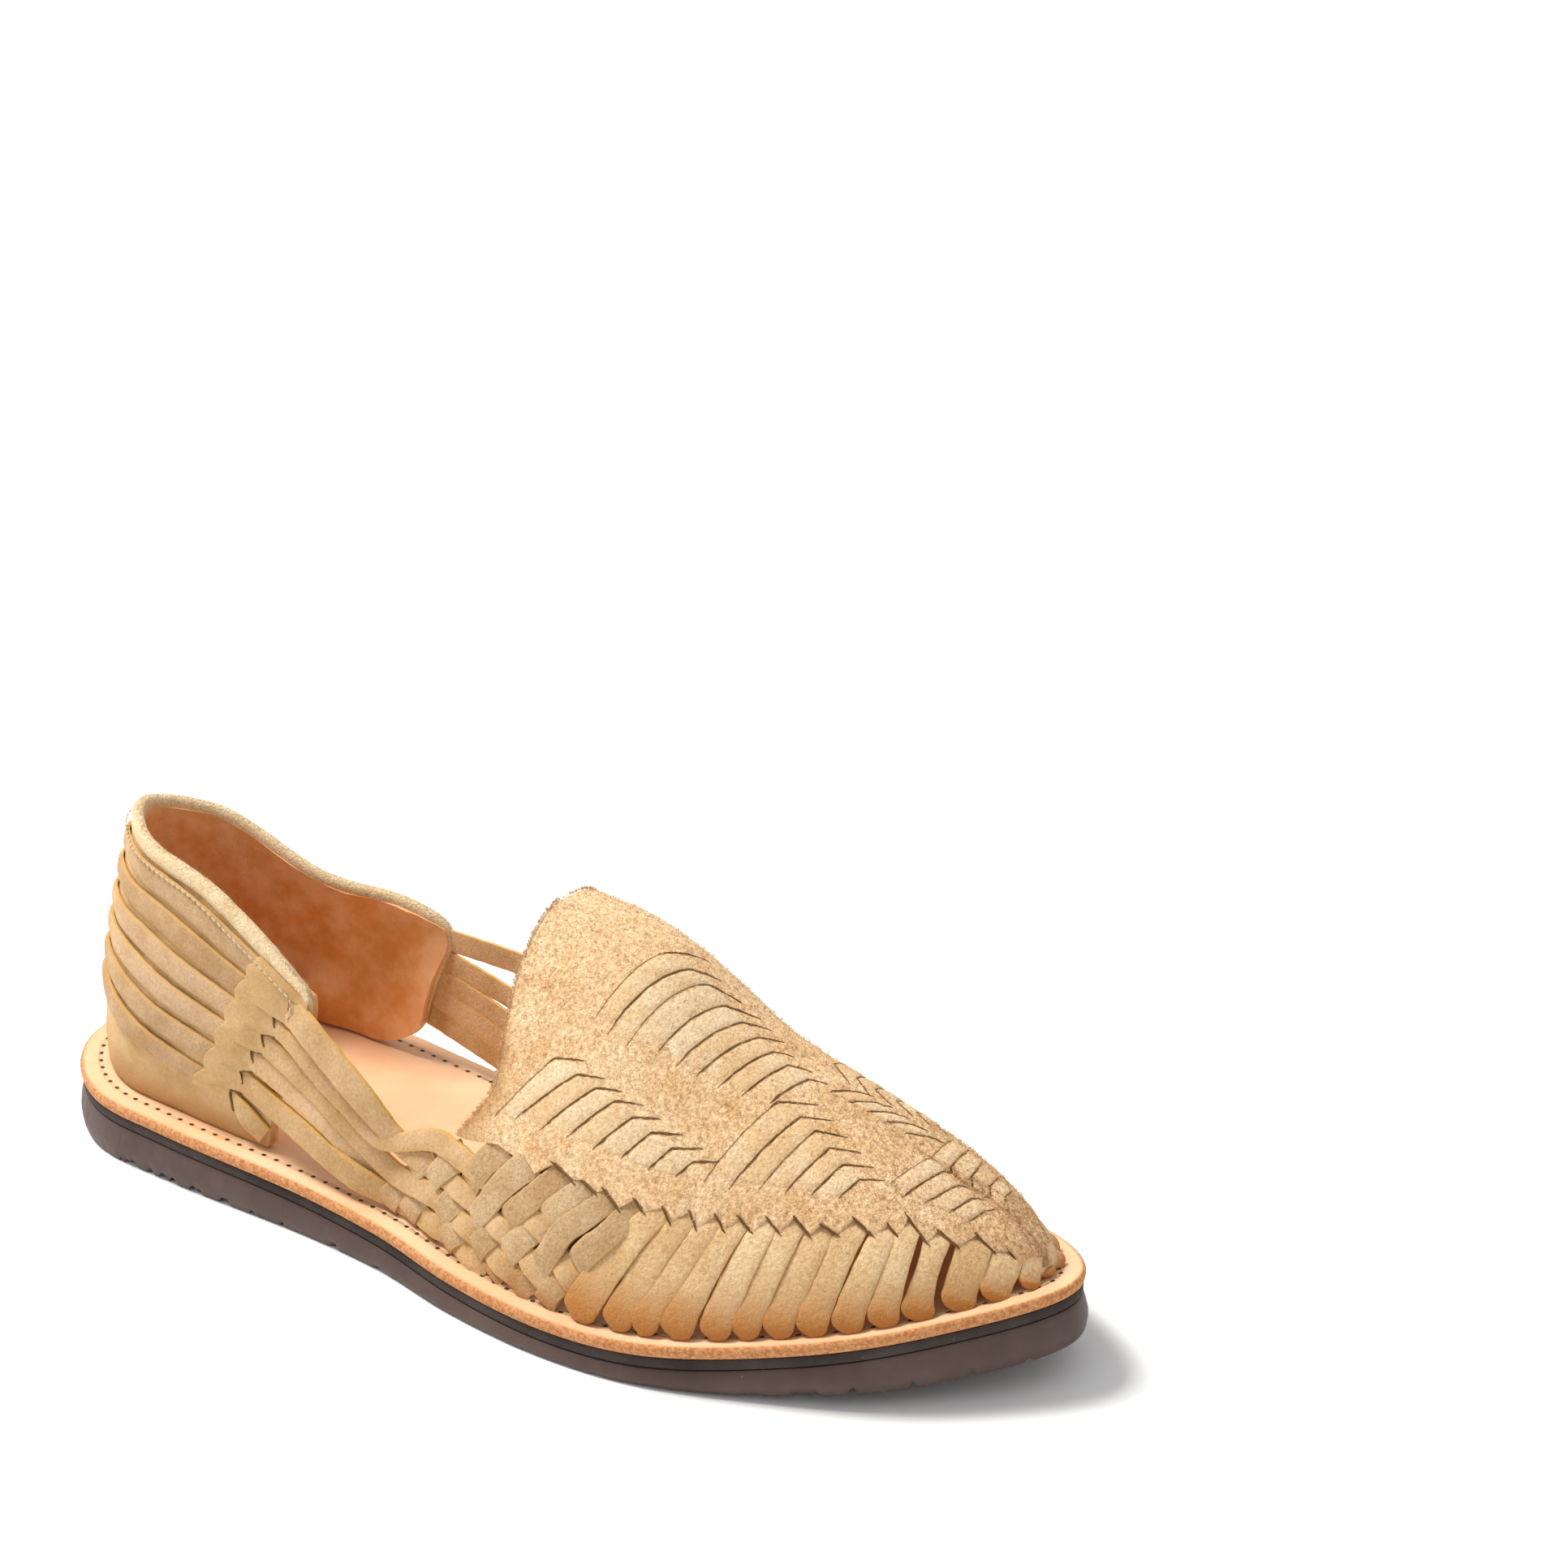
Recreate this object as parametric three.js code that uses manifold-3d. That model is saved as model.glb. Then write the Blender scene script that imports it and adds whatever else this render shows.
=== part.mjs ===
// Right huarache sandal: a woven suede vamp and a heel quarter on a leather insole,
// a dark midsole and a rubber outsole with a zigzag tread.
// Millimetres. X runs from heel to toe, Y to the inner (medial) side, Z up.
import * as THREE from 'three';
import Module from 'manifold-3d';

const wasm = await Module();
wasm.setup();

// Sole sizes
const SOLE_LENGTH = 292;
const BALL_WIDTH = 100;
const TIP_OFFSET = 4;
const HEEL_THICKNESS = 13.8;
const BALL_THICKNESS = 6.8;
const TOE_HEIGHT = 21.9;
const TOE_SPRING = 9.5;
const INSOLE_THICKNESS = 3;
const MIDSOLE_THICKNESS = 2.6;
const MIDSOLE_SETBACK = 0.6;
const OUTSOLE_FLARE = 0.8;

// Tread sizes
const TREAD_DEPTH = 1.4;
const TREAD_GROOVE = 2.2;
const TREAD_PITCH = 22;
const TREAD_MARGIN = 5;
const SMOOTH_BAND = 15;

// Upper sizes
const VAMP_START = 115;
const RIDGE_END = 268;
const INSTEP_HEIGHT = 90;
const HEEL_HEIGHT = 83;
const WING_LENGTH = 83;
const UPPER_WALL = 2;
const LEDGE = 7.5;
const INNER_LEDGE = 7;
const TOE_LEDGE = 9;
const HEEL_LEDGE = 7.5;
const STRIP_WIDTH = 7.2;
const STRIP_RISE = 1.2;
const STRIP_ROOT = 1.3;
const STRAP_WIDTH = 5.5;
const STRAP_THICKNESS = 1.6;
const TOE_STRIPS = 13;
const SPREAD = 1.6;
const GAP = 0.3;

// Half widths of the sole on each side of its axis, as shares of the ball width,
// before the round ends of the outline draw them in
const SOLE_OUTLINE = [
  { along: 0.0, lateral: 0.64, medial: 0.62 },
  { along: 0.08, lateral: 0.6, medial: 0.6 },
  { along: 0.17, lateral: 0.5, medial: 0.515 },
  { along: 0.31, lateral: 0.435, medial: 0.385 },
  { along: 0.43, lateral: 0.448, medial: 0.33 },
  { along: 0.53, lateral: 0.52, medial: 0.352 },
  { along: 0.63, lateral: 0.582, medial: 0.42 },
  { along: 0.72, lateral: 0.613, medial: 0.474 },
  { along: 0.81, lateral: 0.597, medial: 0.505 },
  { along: 0.9, lateral: 0.575, medial: 0.49 },
  { along: 0.965, lateral: 0.494, medial: 0.455 },
  { along: 1.0, lateral: 0.44, medial: 0.43 },
];

// Height of the insole's underside above the ground
const SEAT_LINE = [
  { along: 0.0, height: HEEL_THICKNESS },
  { along: 0.28, height: HEEL_THICKNESS * 0.82 },
  { along: 0.62, height: BALL_THICKNESS },
  { along: 0.78, height: BALL_THICKNESS + (TOE_HEIGHT - BALL_THICKNESS) * 0.17 },
  { along: 1.0, height: TOE_HEIGHT },
];

// Ridge of the vamp from its start to the toe: height as a share of the instep height,
// offset toward the inner side, and how full the section is at its foot and at its crown
const RIDGE_LINE = [
  { along: 0.0, height: 1.05, offset: -3, foot: 1.05, outerCrown: 1.9, innerCrown: 2.7 },
  { along: 0.175, height: 0.99, offset: -2, foot: 1.05, outerCrown: 1.9, innerCrown: 2.7 },
  { along: 0.284, height: 0.885, offset: 0, foot: 1.2, outerCrown: 1.9, innerCrown: 2.2 },
  { along: 0.391, height: 0.77, offset: 1, foot: 1.35, outerCrown: 1.95, innerCrown: 2 },
  { along: 0.507, height: 0.66, offset: 2, foot: 1.5, outerCrown: 2, innerCrown: 2 },
  { along: 0.644, height: 0.575, offset: 4, foot: 1.7, outerCrown: 2, innerCrown: 2 },
  { along: 0.82, height: 0.505, offset: 6, foot: 1.9, outerCrown: 2, innerCrown: 2 },
  { along: 1.0, height: 0.46, offset: 7, foot: 2, outerCrown: 2, innerCrown: 2 },
];

// Back edge of the vamp and its side weave, on each side, against the lift up the wall
const THROAT_LINE = [
  { lift: 0.0, outer: 0.005, inner: 0.05 },
  { lift: 0.08, outer: 0.035, inner: 0.06 },
  { lift: 0.16, outer: 0.09, inner: 0.08 },
  { lift: 0.25, outer: 0.125, inner: 0.1 },
  { lift: 0.36, outer: 0.157, inner: 0.13 },
  { lift: 0.6, outer: 0.156, inner: 0.15 },
  { lift: 1.0, outer: 0.175, inner: 0.175 },
];

// Collar of the heel quarter from the outer wing, round the heel, to the inner wing:
// place as shares of the wing length, of the ball width and of the heel height
const COLLAR_LINE = [
  { turn: 0.0, along: 1.23, across: -0.31, height: 0.7 },
  { turn: 0.12, along: 1.0, across: -0.27, height: 0.81 },
  { turn: 0.25, along: 0.75, across: -0.235, height: 0.92 },
  { turn: 0.4, along: 0.42, across: -0.175, height: 0.985 },
  { turn: 0.5, along: 0.215, across: 0.0, height: 1.0 },
  { turn: 0.6, along: 0.36, across: 0.16, height: 0.93 },
  { turn: 0.75, along: 0.68, across: 0.235, height: 0.755 },
  { turn: 0.88, along: 0.94, across: 0.3, height: 0.7 },
  { turn: 1.0, along: 1.12, across: 0.335, height: 0.62 },
];

// Upper edge of the toe strips, as a lift up the vamp's wall
const STRIP_TOPS = [
  { along: 0.3, lift: 0.28 },
  { along: 0.45, lift: 0.32 },
  { along: 0.6, lift: 0.39 },
  { along: 0.8, lift: 0.43 },
  { along: 1.0, lift: 0.42 },
];

// Shape of one toe strip from the footbed to its pointed upper end
const TOE_STRIP_SHAPE = [
  { share: 0.0, taper: 1 },
  { share: 0.4, taper: 1.02 },
  { share: 0.8, taper: 0.9 },
  { share: 1.0, taper: 0.3 },
];

// Side straps from the slits of each wing to the vamp's side weave
const OUTER_STRAPS = [
  { turn: 0.045, climb: 0.9, along: 0.1, lift: 0.17 },
  { turn: 0.045, climb: 0.78, along: 0.085, lift: 0.145 },
  { turn: 0.045, climb: 0.66, along: 0.07, lift: 0.12 },
  { turn: 0.045, climb: 0.53, along: 0.05, lift: 0.095 },
  { turn: 0.05, climb: 0.4, along: 0.035, lift: 0.065 },
  { turn: 0.055, climb: 0.27, along: 0.015, lift: 0.035 },
];
const INNER_STRAPS = [
  { turn: 0.945, climb: 0.88, along: 0.15, lift: 0.43 },
  { turn: 0.945, climb: 0.7, along: 0.14, lift: 0.34 },
  { turn: 0.945, climb: 0.52, along: 0.13, lift: 0.25 },
  { turn: 0.945, climb: 0.34, along: 0.115, lift: 0.16 },
  { turn: 0.945, climb: 0.17, along: 0.1, lift: 0.07 },
];

// Diagonal straps of the heel quarter, from the back of the heel to the slits of a wing
const HEEL_STRAPS = [
  { startTurn: 0.46, startClimb: 0.9, endTurn: 0.116, endClimb: 0.9 },
  { startTurn: 0.46, startClimb: 0.78, endTurn: 0.107, endClimb: 0.8 },
  { startTurn: 0.455, startClimb: 0.66, endTurn: 0.097, endClimb: 0.69 },
  { startTurn: 0.44, startClimb: 0.55, endTurn: 0.09, endClimb: 0.56 },
  { startTurn: 0.42, startClimb: 0.45, endTurn: 0.087, endClimb: 0.42 },
  { startTurn: 0.4, startClimb: 0.36, endTurn: 0.09, endClimb: 0.28 },
];

// Rows of short strips threaded through the top of the vamp, each from its first
// to its last strip, in stations along the vamp and lifts up its outer side
const THREADED_ROWS = [
  { count: 6, firstAlong: 0.29, firstLift: 0.85, lastAlong: 0.455, lastLift: 0.86 },
  { count: 6, firstAlong: 0.21, firstLift: 0.4, lastAlong: 0.42, lastLift: 0.42 },
  { count: 5, firstAlong: 0.43, firstLift: 0.57, lastAlong: 0.62, lastLift: 0.53 },
  { count: 3, firstAlong: 0.56, firstLift: 0.93, lastAlong: 0.66, lastLift: 0.72 },
  { count: 4, firstAlong: 0.65, firstLift: 0.7, lastAlong: 0.82, lastLift: 0.52 },
];

/** Smooth value of a table's column at a place along its first column. */
function tableValue(table, key, column, place) {
  const last = table.length - 1;
  let row = 0;
  while (row < last - 1 && place > table[row + 1][key]) {
    row += 1;
  }
  const slope = (index) => {
    const before = table[Math.max(index - 1, 0)];
    const after = table[Math.min(index + 1, last)];
    return (after[column] - before[column]) / (after[key] - before[key]);
  };
  const start = table[row];
  const end = table[row + 1];
  const span = end[key] - start[key];
  const s = THREE.MathUtils.clamp((place - start[key]) / span, 0, 1);
  const ease = s * s * (3 - 2 * s);
  const bendStart = s * (1 - s) * (1 - s) * span * slope(row);
  const bendEnd = s * s * (s - 1) * span * slope(row + 1);
  return start[column] + (end[column] - start[column]) * ease + bendStart + bendEnd;
}

/** Collects welded points and triangles, and closes them into a solid. */
class Shell {
  constructor() {
    this.points = [];
    this.faces = [];
    this.index = new Map();
  }

  point(p) {
    const key = [p.x, p.y, p.z].map((value) => Math.round(value * 2000)).join(' ');
    if (!this.index.has(key)) {
      this.index.set(key, this.points.length / 3);
      this.points.push(p.x, p.y, p.z);
    }
    return this.index.get(key);
  }

  triangle(a, b, c) {
    if (a !== b && b !== c && c !== a) {
      this.faces.push(a, b, c);
    }
  }

  quad(a, b, c, d) {
    this.triangle(a, b, c);
    this.triangle(a, c, d);
  }

  solid() {
    const build = (faces) => new wasm.Manifold(new wasm.Mesh({
      numProp: 3,
      vertProperties: Float32Array.from(this.points),
      triVerts: Uint32Array.from(faces),
    }));
    const body = build(this.faces);
    return body.volume() > 0 ? body : build(this.faces.slice().reverse());
  }
}

/** Point of the sole's outline: side -1 outer or 1 inner, turn 0 heel to 1 toe. */
function outlinePoint(side, turn, inset = 0) {
  const edge = (t) => {
    const x = SOLE_LENGTH * (1 - Math.cos(Math.PI * t)) / 2;
    const share = x / SOLE_LENGTH;
    const column = side < 0 ? 'lateral' : 'medial';
    const half = BALL_WIDTH * tableValue(SOLE_OUTLINE, 'along', column, share);
    return new THREE.Vector2(x, TIP_OFFSET * share ** 2 + side * half * Math.sin(Math.PI * t));
  };
  const here = edge(turn);
  const tangent = edge(Math.min(turn + 0.002, 1)).sub(edge(Math.max(turn - 0.002, 0)));
  tangent.normalize();
  if (turn === 0 || turn === 1) {
    tangent.set(0, turn === 0 ? side : -side);
  }
  here.x += side * tangent.y * inset;
  here.y -= side * tangent.x * inset;
  return here;
}

/** Height of the insole's underside at a place along the sole. */
function seatHeight(x) {
  return tableValue(SEAT_LINE, 'along', 'height', THREE.MathUtils.clamp(x / SOLE_LENGTH, 0, 1));
}

/** Height of the insole's top, where the upper stands. */
function footbedHeight(x) {
  return seatHeight(x) + INSOLE_THICKNESS;
}

/** Height of the outsole's underside, which rises toward the toe. */
function groundHeight(x) {
  const past = Math.max(x / SOLE_LENGTH - 0.68, 0) / 0.32;
  return TOE_SPRING * past ** 2;
}

/** One layer of the sole, from levels that each have an inset and a height. */
function soleLayer(levels, stations = 26) {
  const shell = new Shell();
  const corner = (level, station, side) => {
    const edge = outlinePoint(side, station / stations, level.inset);
    return shell.point(new THREE.Vector3(edge.x, edge.y, level.height(edge.x)));
  };
  const top = levels[levels.length - 1];
  for (let i = 0; i < stations; i += 1) {
    shell.quad(corner(levels[0], i, -1), corner(levels[0], i, 1),
      corner(levels[0], i + 1, 1), corner(levels[0], i + 1, -1));
    shell.quad(corner(top, i, 1), corner(top, i, -1),
      corner(top, i + 1, -1), corner(top, i + 1, 1));
    for (let k = 0; k < levels.length - 1; k += 1) {
      shell.quad(corner(levels[k], i, -1), corner(levels[k], i + 1, -1),
        corner(levels[k + 1], i + 1, -1), corner(levels[k + 1], i, -1));
      shell.quad(corner(levels[k], i + 1, 1), corner(levels[k], i, 1),
        corner(levels[k + 1], i, 1), corner(levels[k + 1], i + 1, 1));
    }
  }
  return shell.solid();
}

/** A strip of four-cornered section that follows a path and lies on its normals. */
function ribbon(path) {
  const shell = new Shell();
  const rings = path.map((step, i) => {
    const before = path[Math.max(i - 1, 0)].place;
    const after = path[Math.min(i + 1, path.length - 1)].place;
    const tangent = after.clone().sub(before).normalize();
    const side = step.normal.clone().cross(tangent).normalize();
    const corner = (across, height) => shell.point(step.place.clone()
      .addScaledVector(side, across * step.width / 2)
      .addScaledVector(step.normal, height));
    return [corner(-1, step.low), corner(1, step.low), corner(0.8, step.high),
      corner(-0.8, step.high)];
  });
  const sides = rings[0].length;
  for (let i = 0; i < rings.length - 1; i += 1) {
    for (let k = 0; k < sides; k += 1) {
      const next = (k + 1) % sides;
      shell.quad(rings[i][k], rings[i + 1][k], rings[i + 1][next], rings[i][next]);
    }
  }
  const first = rings[0];
  const last = rings[rings.length - 1];
  for (let k = 1; k < sides - 1; k += 1) {
    shell.triangle(first[0], first[k], first[k + 1]);
    shell.triangle(last[0], last[k + 1], last[k]);
  }
  return shell.solid();
}

/** A wall of even thickness behind a surface given over a grid of two shares. */
function wall(surface, columns, rows, thickness) {
  const shell = new Shell();
  const corner = (i, j, depth) => {
    const place = surface(i / columns, j / rows);
    const inward = surface.normal(i / columns, j / rows).multiplyScalar(-depth);
    return shell.point(place.add(inward));
  };
  const outer = (i, j) => corner(i, j, 0);
  const inner = (i, j) => corner(i, j, thickness);
  for (let i = 0; i < columns; i += 1) {
    for (let j = 0; j < rows; j += 1) {
      shell.quad(outer(i, j), outer(i + 1, j), outer(i + 1, j + 1), outer(i, j + 1));
      shell.quad(inner(i, j), inner(i, j + 1), inner(i + 1, j + 1), inner(i + 1, j));
    }
    shell.quad(outer(i, 0), inner(i, 0), inner(i + 1, 0), outer(i + 1, 0));
    shell.quad(outer(i + 1, rows), inner(i + 1, rows), inner(i, rows), outer(i, rows));
  }
  for (let j = 0; j < rows; j += 1) {
    shell.quad(outer(0, j + 1), inner(0, j + 1), inner(0, j), outer(0, j));
    if (!surface.closedEnd) {
      shell.quad(outer(columns, j), inner(columns, j), inner(columns, j + 1), outer(columns, j + 1));
    }
  }
  return shell.solid();
}

/** Unit vector square to a surface, from its two directions at a place. */
function squareTo(surface, u, v, step = 0.004) {
  const alongU = surface(Math.min(u + step, 1), v).sub(surface(Math.max(u - step, 0), v));
  const alongV = surface(u, v + step).sub(surface(u, v - step));
  return alongU.cross(alongV).normalize();
}

/** Where a station of the vamp stands on the footbed. */
function vampFoot(side, along) {
  const startTurn = Math.acos(1 - 2 * VAMP_START / SOLE_LENGTH) / Math.PI;
  const turn = startTurn + (1 - startTurn) * along;
  const edge = side < 0 ? LEDGE : INNER_LEDGE;
  const inset = edge + (TOE_LEDGE - edge) * along ** 4 - SPREAD * Math.sin(Math.PI * Math.min(along, 1));
  const foot = outlinePoint(side, turn, inset);
  return new THREE.Vector3(foot.x, foot.y, footbedHeight(foot.x) + GAP);
}

/** Top of the vamp at a station. */
function vampRidge(along) {
  const swing = Math.sin(Math.PI * Math.min(along, 1) / 2);
  return new THREE.Vector3(
    VAMP_START + (RIDGE_END - VAMP_START) * swing,
    tableValue(RIDGE_LINE, 'along', 'offset', along),
    INSTEP_HEIGHT * tableValue(RIDGE_LINE, 'along', 'height', along),
  );
}

/** Point of the vamp's outer face: across -1 outer foot, 0 ridge, 1 inner foot. */
function vampPoint(along, across) {
  const side = across < 0 ? -1 : 1;
  const lift = 1 - Math.min(Math.abs(across), 1);
  const foot = vampFoot(side, along);
  const ridge = vampRidge(along);
  const up = Math.sin(Math.PI * lift / 2);
  const footPower = tableValue(RIDGE_LINE, 'along', 'foot', along);
  const crown = side < 0 ? 'outerCrown' : 'innerCrown';
  const crownPower = tableValue(RIDGE_LINE, 'along', crown, along);
  const inward = 1 - Math.max(1 - up ** footPower, 0) ** (1 / crownPower);
  return new THREE.Vector3(
    foot.x + (ridge.x - foot.x) * inward,
    foot.y + (ridge.y - foot.y) * inward,
    foot.z + (ridge.z - foot.z) * up,
  );
}

/** Unit vector out of the vamp's face. */
function vampNormal(along, across) {
  if (along > 0.985) {
    // the two sides meet in one line down the toe, and face along the mean of both
    const height = Math.min(Math.abs(across), 0.98);
    const outer = squareTo(vampPoint, 0.985, -height);
    const inner = squareTo(vampPoint, 0.985, height);
    return outer.add(inner).normalize();
  }
  const inside = THREE.MathUtils.clamp(across, -0.99, 0.99);
  const offRidge = Math.abs(inside) < 0.02 ? 0.02 : inside;
  const normal = squareTo(vampPoint, along, offRidge);
  if (Math.abs(inside) < 0.02) {
    normal.add(squareTo(vampPoint, along, -0.02));
  }
  return normal.normalize();
}

/** The vamp as a grid from its throat to the toe and from outer foot to inner foot. */
function vampSurface(u, v) {
  const across = 2 * v - 1;
  return vampPoint(stationFromThroat(u, across), across);
}
vampSurface.normal = (u, v) => {
  const across = 2 * v - 1;
  return vampNormal(stationFromThroat(u, across), across);
};
vampSurface.closedEnd = true;

function stationFromThroat(u, across) {
  const lift = 1 - Math.abs(across);
  const start = tableValue(THROAT_LINE, 'lift', across < 0 ? 'outer' : 'inner', lift);
  return start + (1 - start) * u;
}

/** Point of the heel quarter's outer face: turn 0 outer wing to 1 inner wing. */
function quarterPoint(turn, climb) {
  const side = turn < 0.5 ? -1 : 1;
  const wingTurn = Math.acos(1 - 2 * WING_LENGTH / SOLE_LENGTH) / Math.PI;
  const foot = outlinePoint(side, wingTurn * Math.abs(1 - 2 * turn), HEEL_LEDGE);
  const bottom = new THREE.Vector3(foot.x, foot.y, footbedHeight(foot.x) + GAP);
  const top = new THREE.Vector3(
    WING_LENGTH * tableValue(COLLAR_LINE, 'turn', 'along', turn),
    BALL_WIDTH * tableValue(COLLAR_LINE, 'turn', 'across', turn),
    HEEL_HEIGHT * tableValue(COLLAR_LINE, 'turn', 'height', turn),
  );
  const lean = climb ** 1.7;
  const bulge = 2.4 * Math.sin(Math.PI * Math.min(climb, 1)) * Math.sin(Math.PI * turn);
  const outward = new THREE.Vector3(
    -Math.cos(Math.PI * (2 * turn - 1) / 2),
    Math.sin(Math.PI * (2 * turn - 1) / 2),
    0,
  );
  return new THREE.Vector3(
    bottom.x + (top.x - bottom.x) * lean,
    bottom.y + (top.y - bottom.y) * lean,
    bottom.z + (top.z - bottom.z) * climb,
  ).addScaledVector(outward, bulge);
}

function quarterNormal(turn, climb) {
  const high = THREE.MathUtils.clamp(climb, 0.01, 0.99);
  return squareTo(quarterPoint, turn, high).negate();
}
const quarterSurface = (u, v) => quarterPoint(u, v);
quarterSurface.normal = quarterNormal;

/** A strip laid on a surface through stations that each hold two shares and a rise. */
function stripOn(point, normal, stations, width, root = STRIP_ROOT) {
  return ribbon(stations.map((station) => ({
    place: point(station.u, station.v),
    normal: normal(station.u, station.v),
    width: width * (station.taper ?? 1),
    low: -root,
    high: station.rise,
  })));
}

/** Strips that rise from the footbed to the vamp's threaded edge, round one side. */
function toeStrips(side) {
  const strips = [];
  for (let i = 0; i < TOE_STRIPS; i += 1) {
    const along = 0.3 + 0.63 * i / (TOE_STRIPS - 1);
    const top = tableValue(STRIP_TOPS, 'along', 'lift', along);
    const stations = TOE_STRIP_SHAPE.map(({ share, taper }) => ({
      u: Math.min(along + 0.015 * share, 0.98),
      v: side * (1 - top * share),
      rise: STRIP_RISE * (share < 1 ? 1 : 0.5),
      taper: taper * (1 - 0.25 * share * along),
    }));
    strips.push(stripOn(vampPoint, vampNormal, stations, STRIP_WIDTH));
  }
  return strips;
}

/** Strips of the side weave, crossing over and under in both directions. */
function sideWeave(side) {
  const strips = [];
  const count = 5;
  for (let i = 0; i < count; i += 1) {
    for (const lean of [-1, 1]) {
      const stations = [0, 1, 2, 3].map((step) => {
        const share = step / 3;
        const along = 0.05 + 0.26 * (i + 0.5) / count + lean * 0.05 * (share - 0.5);
        const column = side < 0 ? 'outer' : 'inner';
        const free = along - tableValue(THROAT_LINE, 'lift', column, 0);
        const top = THREE.MathUtils.clamp(0.06 + 1.6 * free, 0.06, 0.27);
        const over = (step + i + (lean > 0 ? 1 : 0)) % 2;
        return { u: along, v: side * (1 - top * share), rise: STRIP_RISE * (over ? 1 : 0.45) };
      });
      strips.push(stripOn(vampPoint, vampNormal, stations, STRIP_WIDTH));
    }
  }
  return strips;
}

/** Short strips threaded through the vamp's top. */
function threadedStrips() {
  const strips = [];
  for (const row of THREADED_ROWS) {
    for (let i = 0; i < row.count; i += 1) {
      const share = i / (row.count - 1);
      const along = THREE.MathUtils.lerp(row.firstAlong, row.lastAlong, share);
      const lift = THREE.MathUtils.lerp(row.firstLift, row.lastLift, share);
      const stations = [-1, 0, 1].map((end) => ({
        u: along + 0.018 * end,
        v: -(1 - lift - 0.055 * end),
        rise: end === 0 ? STRIP_RISE * 0.8 : 0.2,
      }));
      strips.push(stripOn(vampPoint, vampNormal, stations, STRAP_WIDTH));
    }
  }
  return strips;
}

/** Straps that run from the slits of a wing to the vamp's side weave. */
function sideStraps(rows, side) {
  return rows.map((row) => {
    const front = side < 0 ? 0 : 1;
    const away = GAP + STRIP_RISE;
    const path = [];
    for (const turn of [row.turn, (row.turn + front) / 2, front]) {
      const normal = quarterNormal(turn, row.climb);
      path.push({ place: quarterPoint(turn, row.climb).addScaledVector(normal, away), normal });
    }
    const endNormal = vampNormal(row.along, side * (1 - row.lift));
    const end = vampPoint(row.along, side * (1 - row.lift));
    const start = path[2];
    const middle = start.place.clone().lerp(end, 0.5);
    const middleNormal = start.normal.clone().add(endNormal).normalize();
    path.push({ place: middle.addScaledVector(middleNormal, 0.5), normal: middleNormal });
    path.push({ place: end, normal: endNormal });
    const beyond = Math.min(row.along + 0.05, 0.3);
    path.push({
      place: vampPoint(beyond, side * (1 - row.lift * 0.85)),
      normal: vampNormal(beyond, side * (1 - row.lift * 0.85)),
    });
    return ribbon(path.map((step, i) => ({
      ...step,
      width: STRAP_WIDTH,
      low: i < 3 ? 0 : -STRIP_ROOT,
      high: i < 3 ? STRAP_THICKNESS : STRIP_RISE,
    })));
  });
}

/** Diagonal straps on one side of the heel quarter. */
function heelStraps(side) {
  return HEEL_STRAPS.map((row) => {
    const stations = [0, 0.33, 0.67, 1].map((run) => {
      const turn = THREE.MathUtils.lerp(row.startTurn, row.endTurn, run);
      return {
        u: side < 0 ? turn : 1 - turn,
        v: THREE.MathUtils.lerp(row.startClimb, row.endClimb, run),
        rise: STRIP_RISE * (run === 1 ? 0.4 : 1),
      };
    });
    return stripOn(quarterPoint, quarterNormal, stations, STRAP_WIDTH);
  });
}

/** Zigzag grooves of the tread, cut up into the outsole. */
function treadGrooves() {
  const grooves = [];
  const down = new THREE.Vector3(0, 0, -1);
  const groove = (points) => grooves.push(ribbon(points.map(([x, y]) => ({
    place: new THREE.Vector3(x, y, groundHeight(x)),
    normal: down,
    width: TREAD_GROOVE,
    low: -TREAD_DEPTH,
    high: 1,
  }))));
  const first = TREAD_MARGIN * 4;
  const count = Math.floor((SOLE_LENGTH - 2 * first) / TREAD_PITCH);
  for (const side of [-1, 1]) {
    for (let i = 0; i <= count; i += 1) {
      const x = first + i * TREAD_PITCH;
      const turn = Math.acos(1 - 2 * x / SOLE_LENGTH) / Math.PI;
      const edge = outlinePoint(side, turn, TREAD_MARGIN).y;
      const axis = TIP_OFFSET * (x / SOLE_LENGTH) ** 2 + side * SMOOTH_BAND;
      const reach = edge - axis;
      if (reach * side > TREAD_GROOVE * 3) {
        groove([0, 0.25, 0.5, 0.75, 1].map((share, k) => [
          x + TREAD_PITCH * (k % 2 ? 0.28 : -0.08),
          axis + reach * share,
        ]));
      }
    }
  }
  return grooves;
}

/** Joins a list of solids into one. */
function join(parts) {
  return parts.reduce((whole, next) => whole.add(next));
}

/** Mesh of a solid, with its material. */
function named(name, solid, color, roughness) {
  const mesh = solid.getMesh();
  const geometry = new THREE.BufferGeometry();
  geometry.setAttribute('position', new THREE.BufferAttribute(mesh.vertProperties, 3));
  geometry.setIndex(new THREE.BufferAttribute(mesh.triVerts, 1));
  geometry.computeVertexNormals();
  const material = new THREE.MeshStandardMaterial({ color, roughness, metalness: 0, flatShading: true });
  const part = new THREE.Mesh(geometry, material);
  part.name = name;
  return part;
}

const midsoleBottom = (x) => seatHeight(x) - GAP - MIDSOLE_THICKNESS;
const outsoleTop = (x) => midsoleBottom(x) - GAP;

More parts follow.
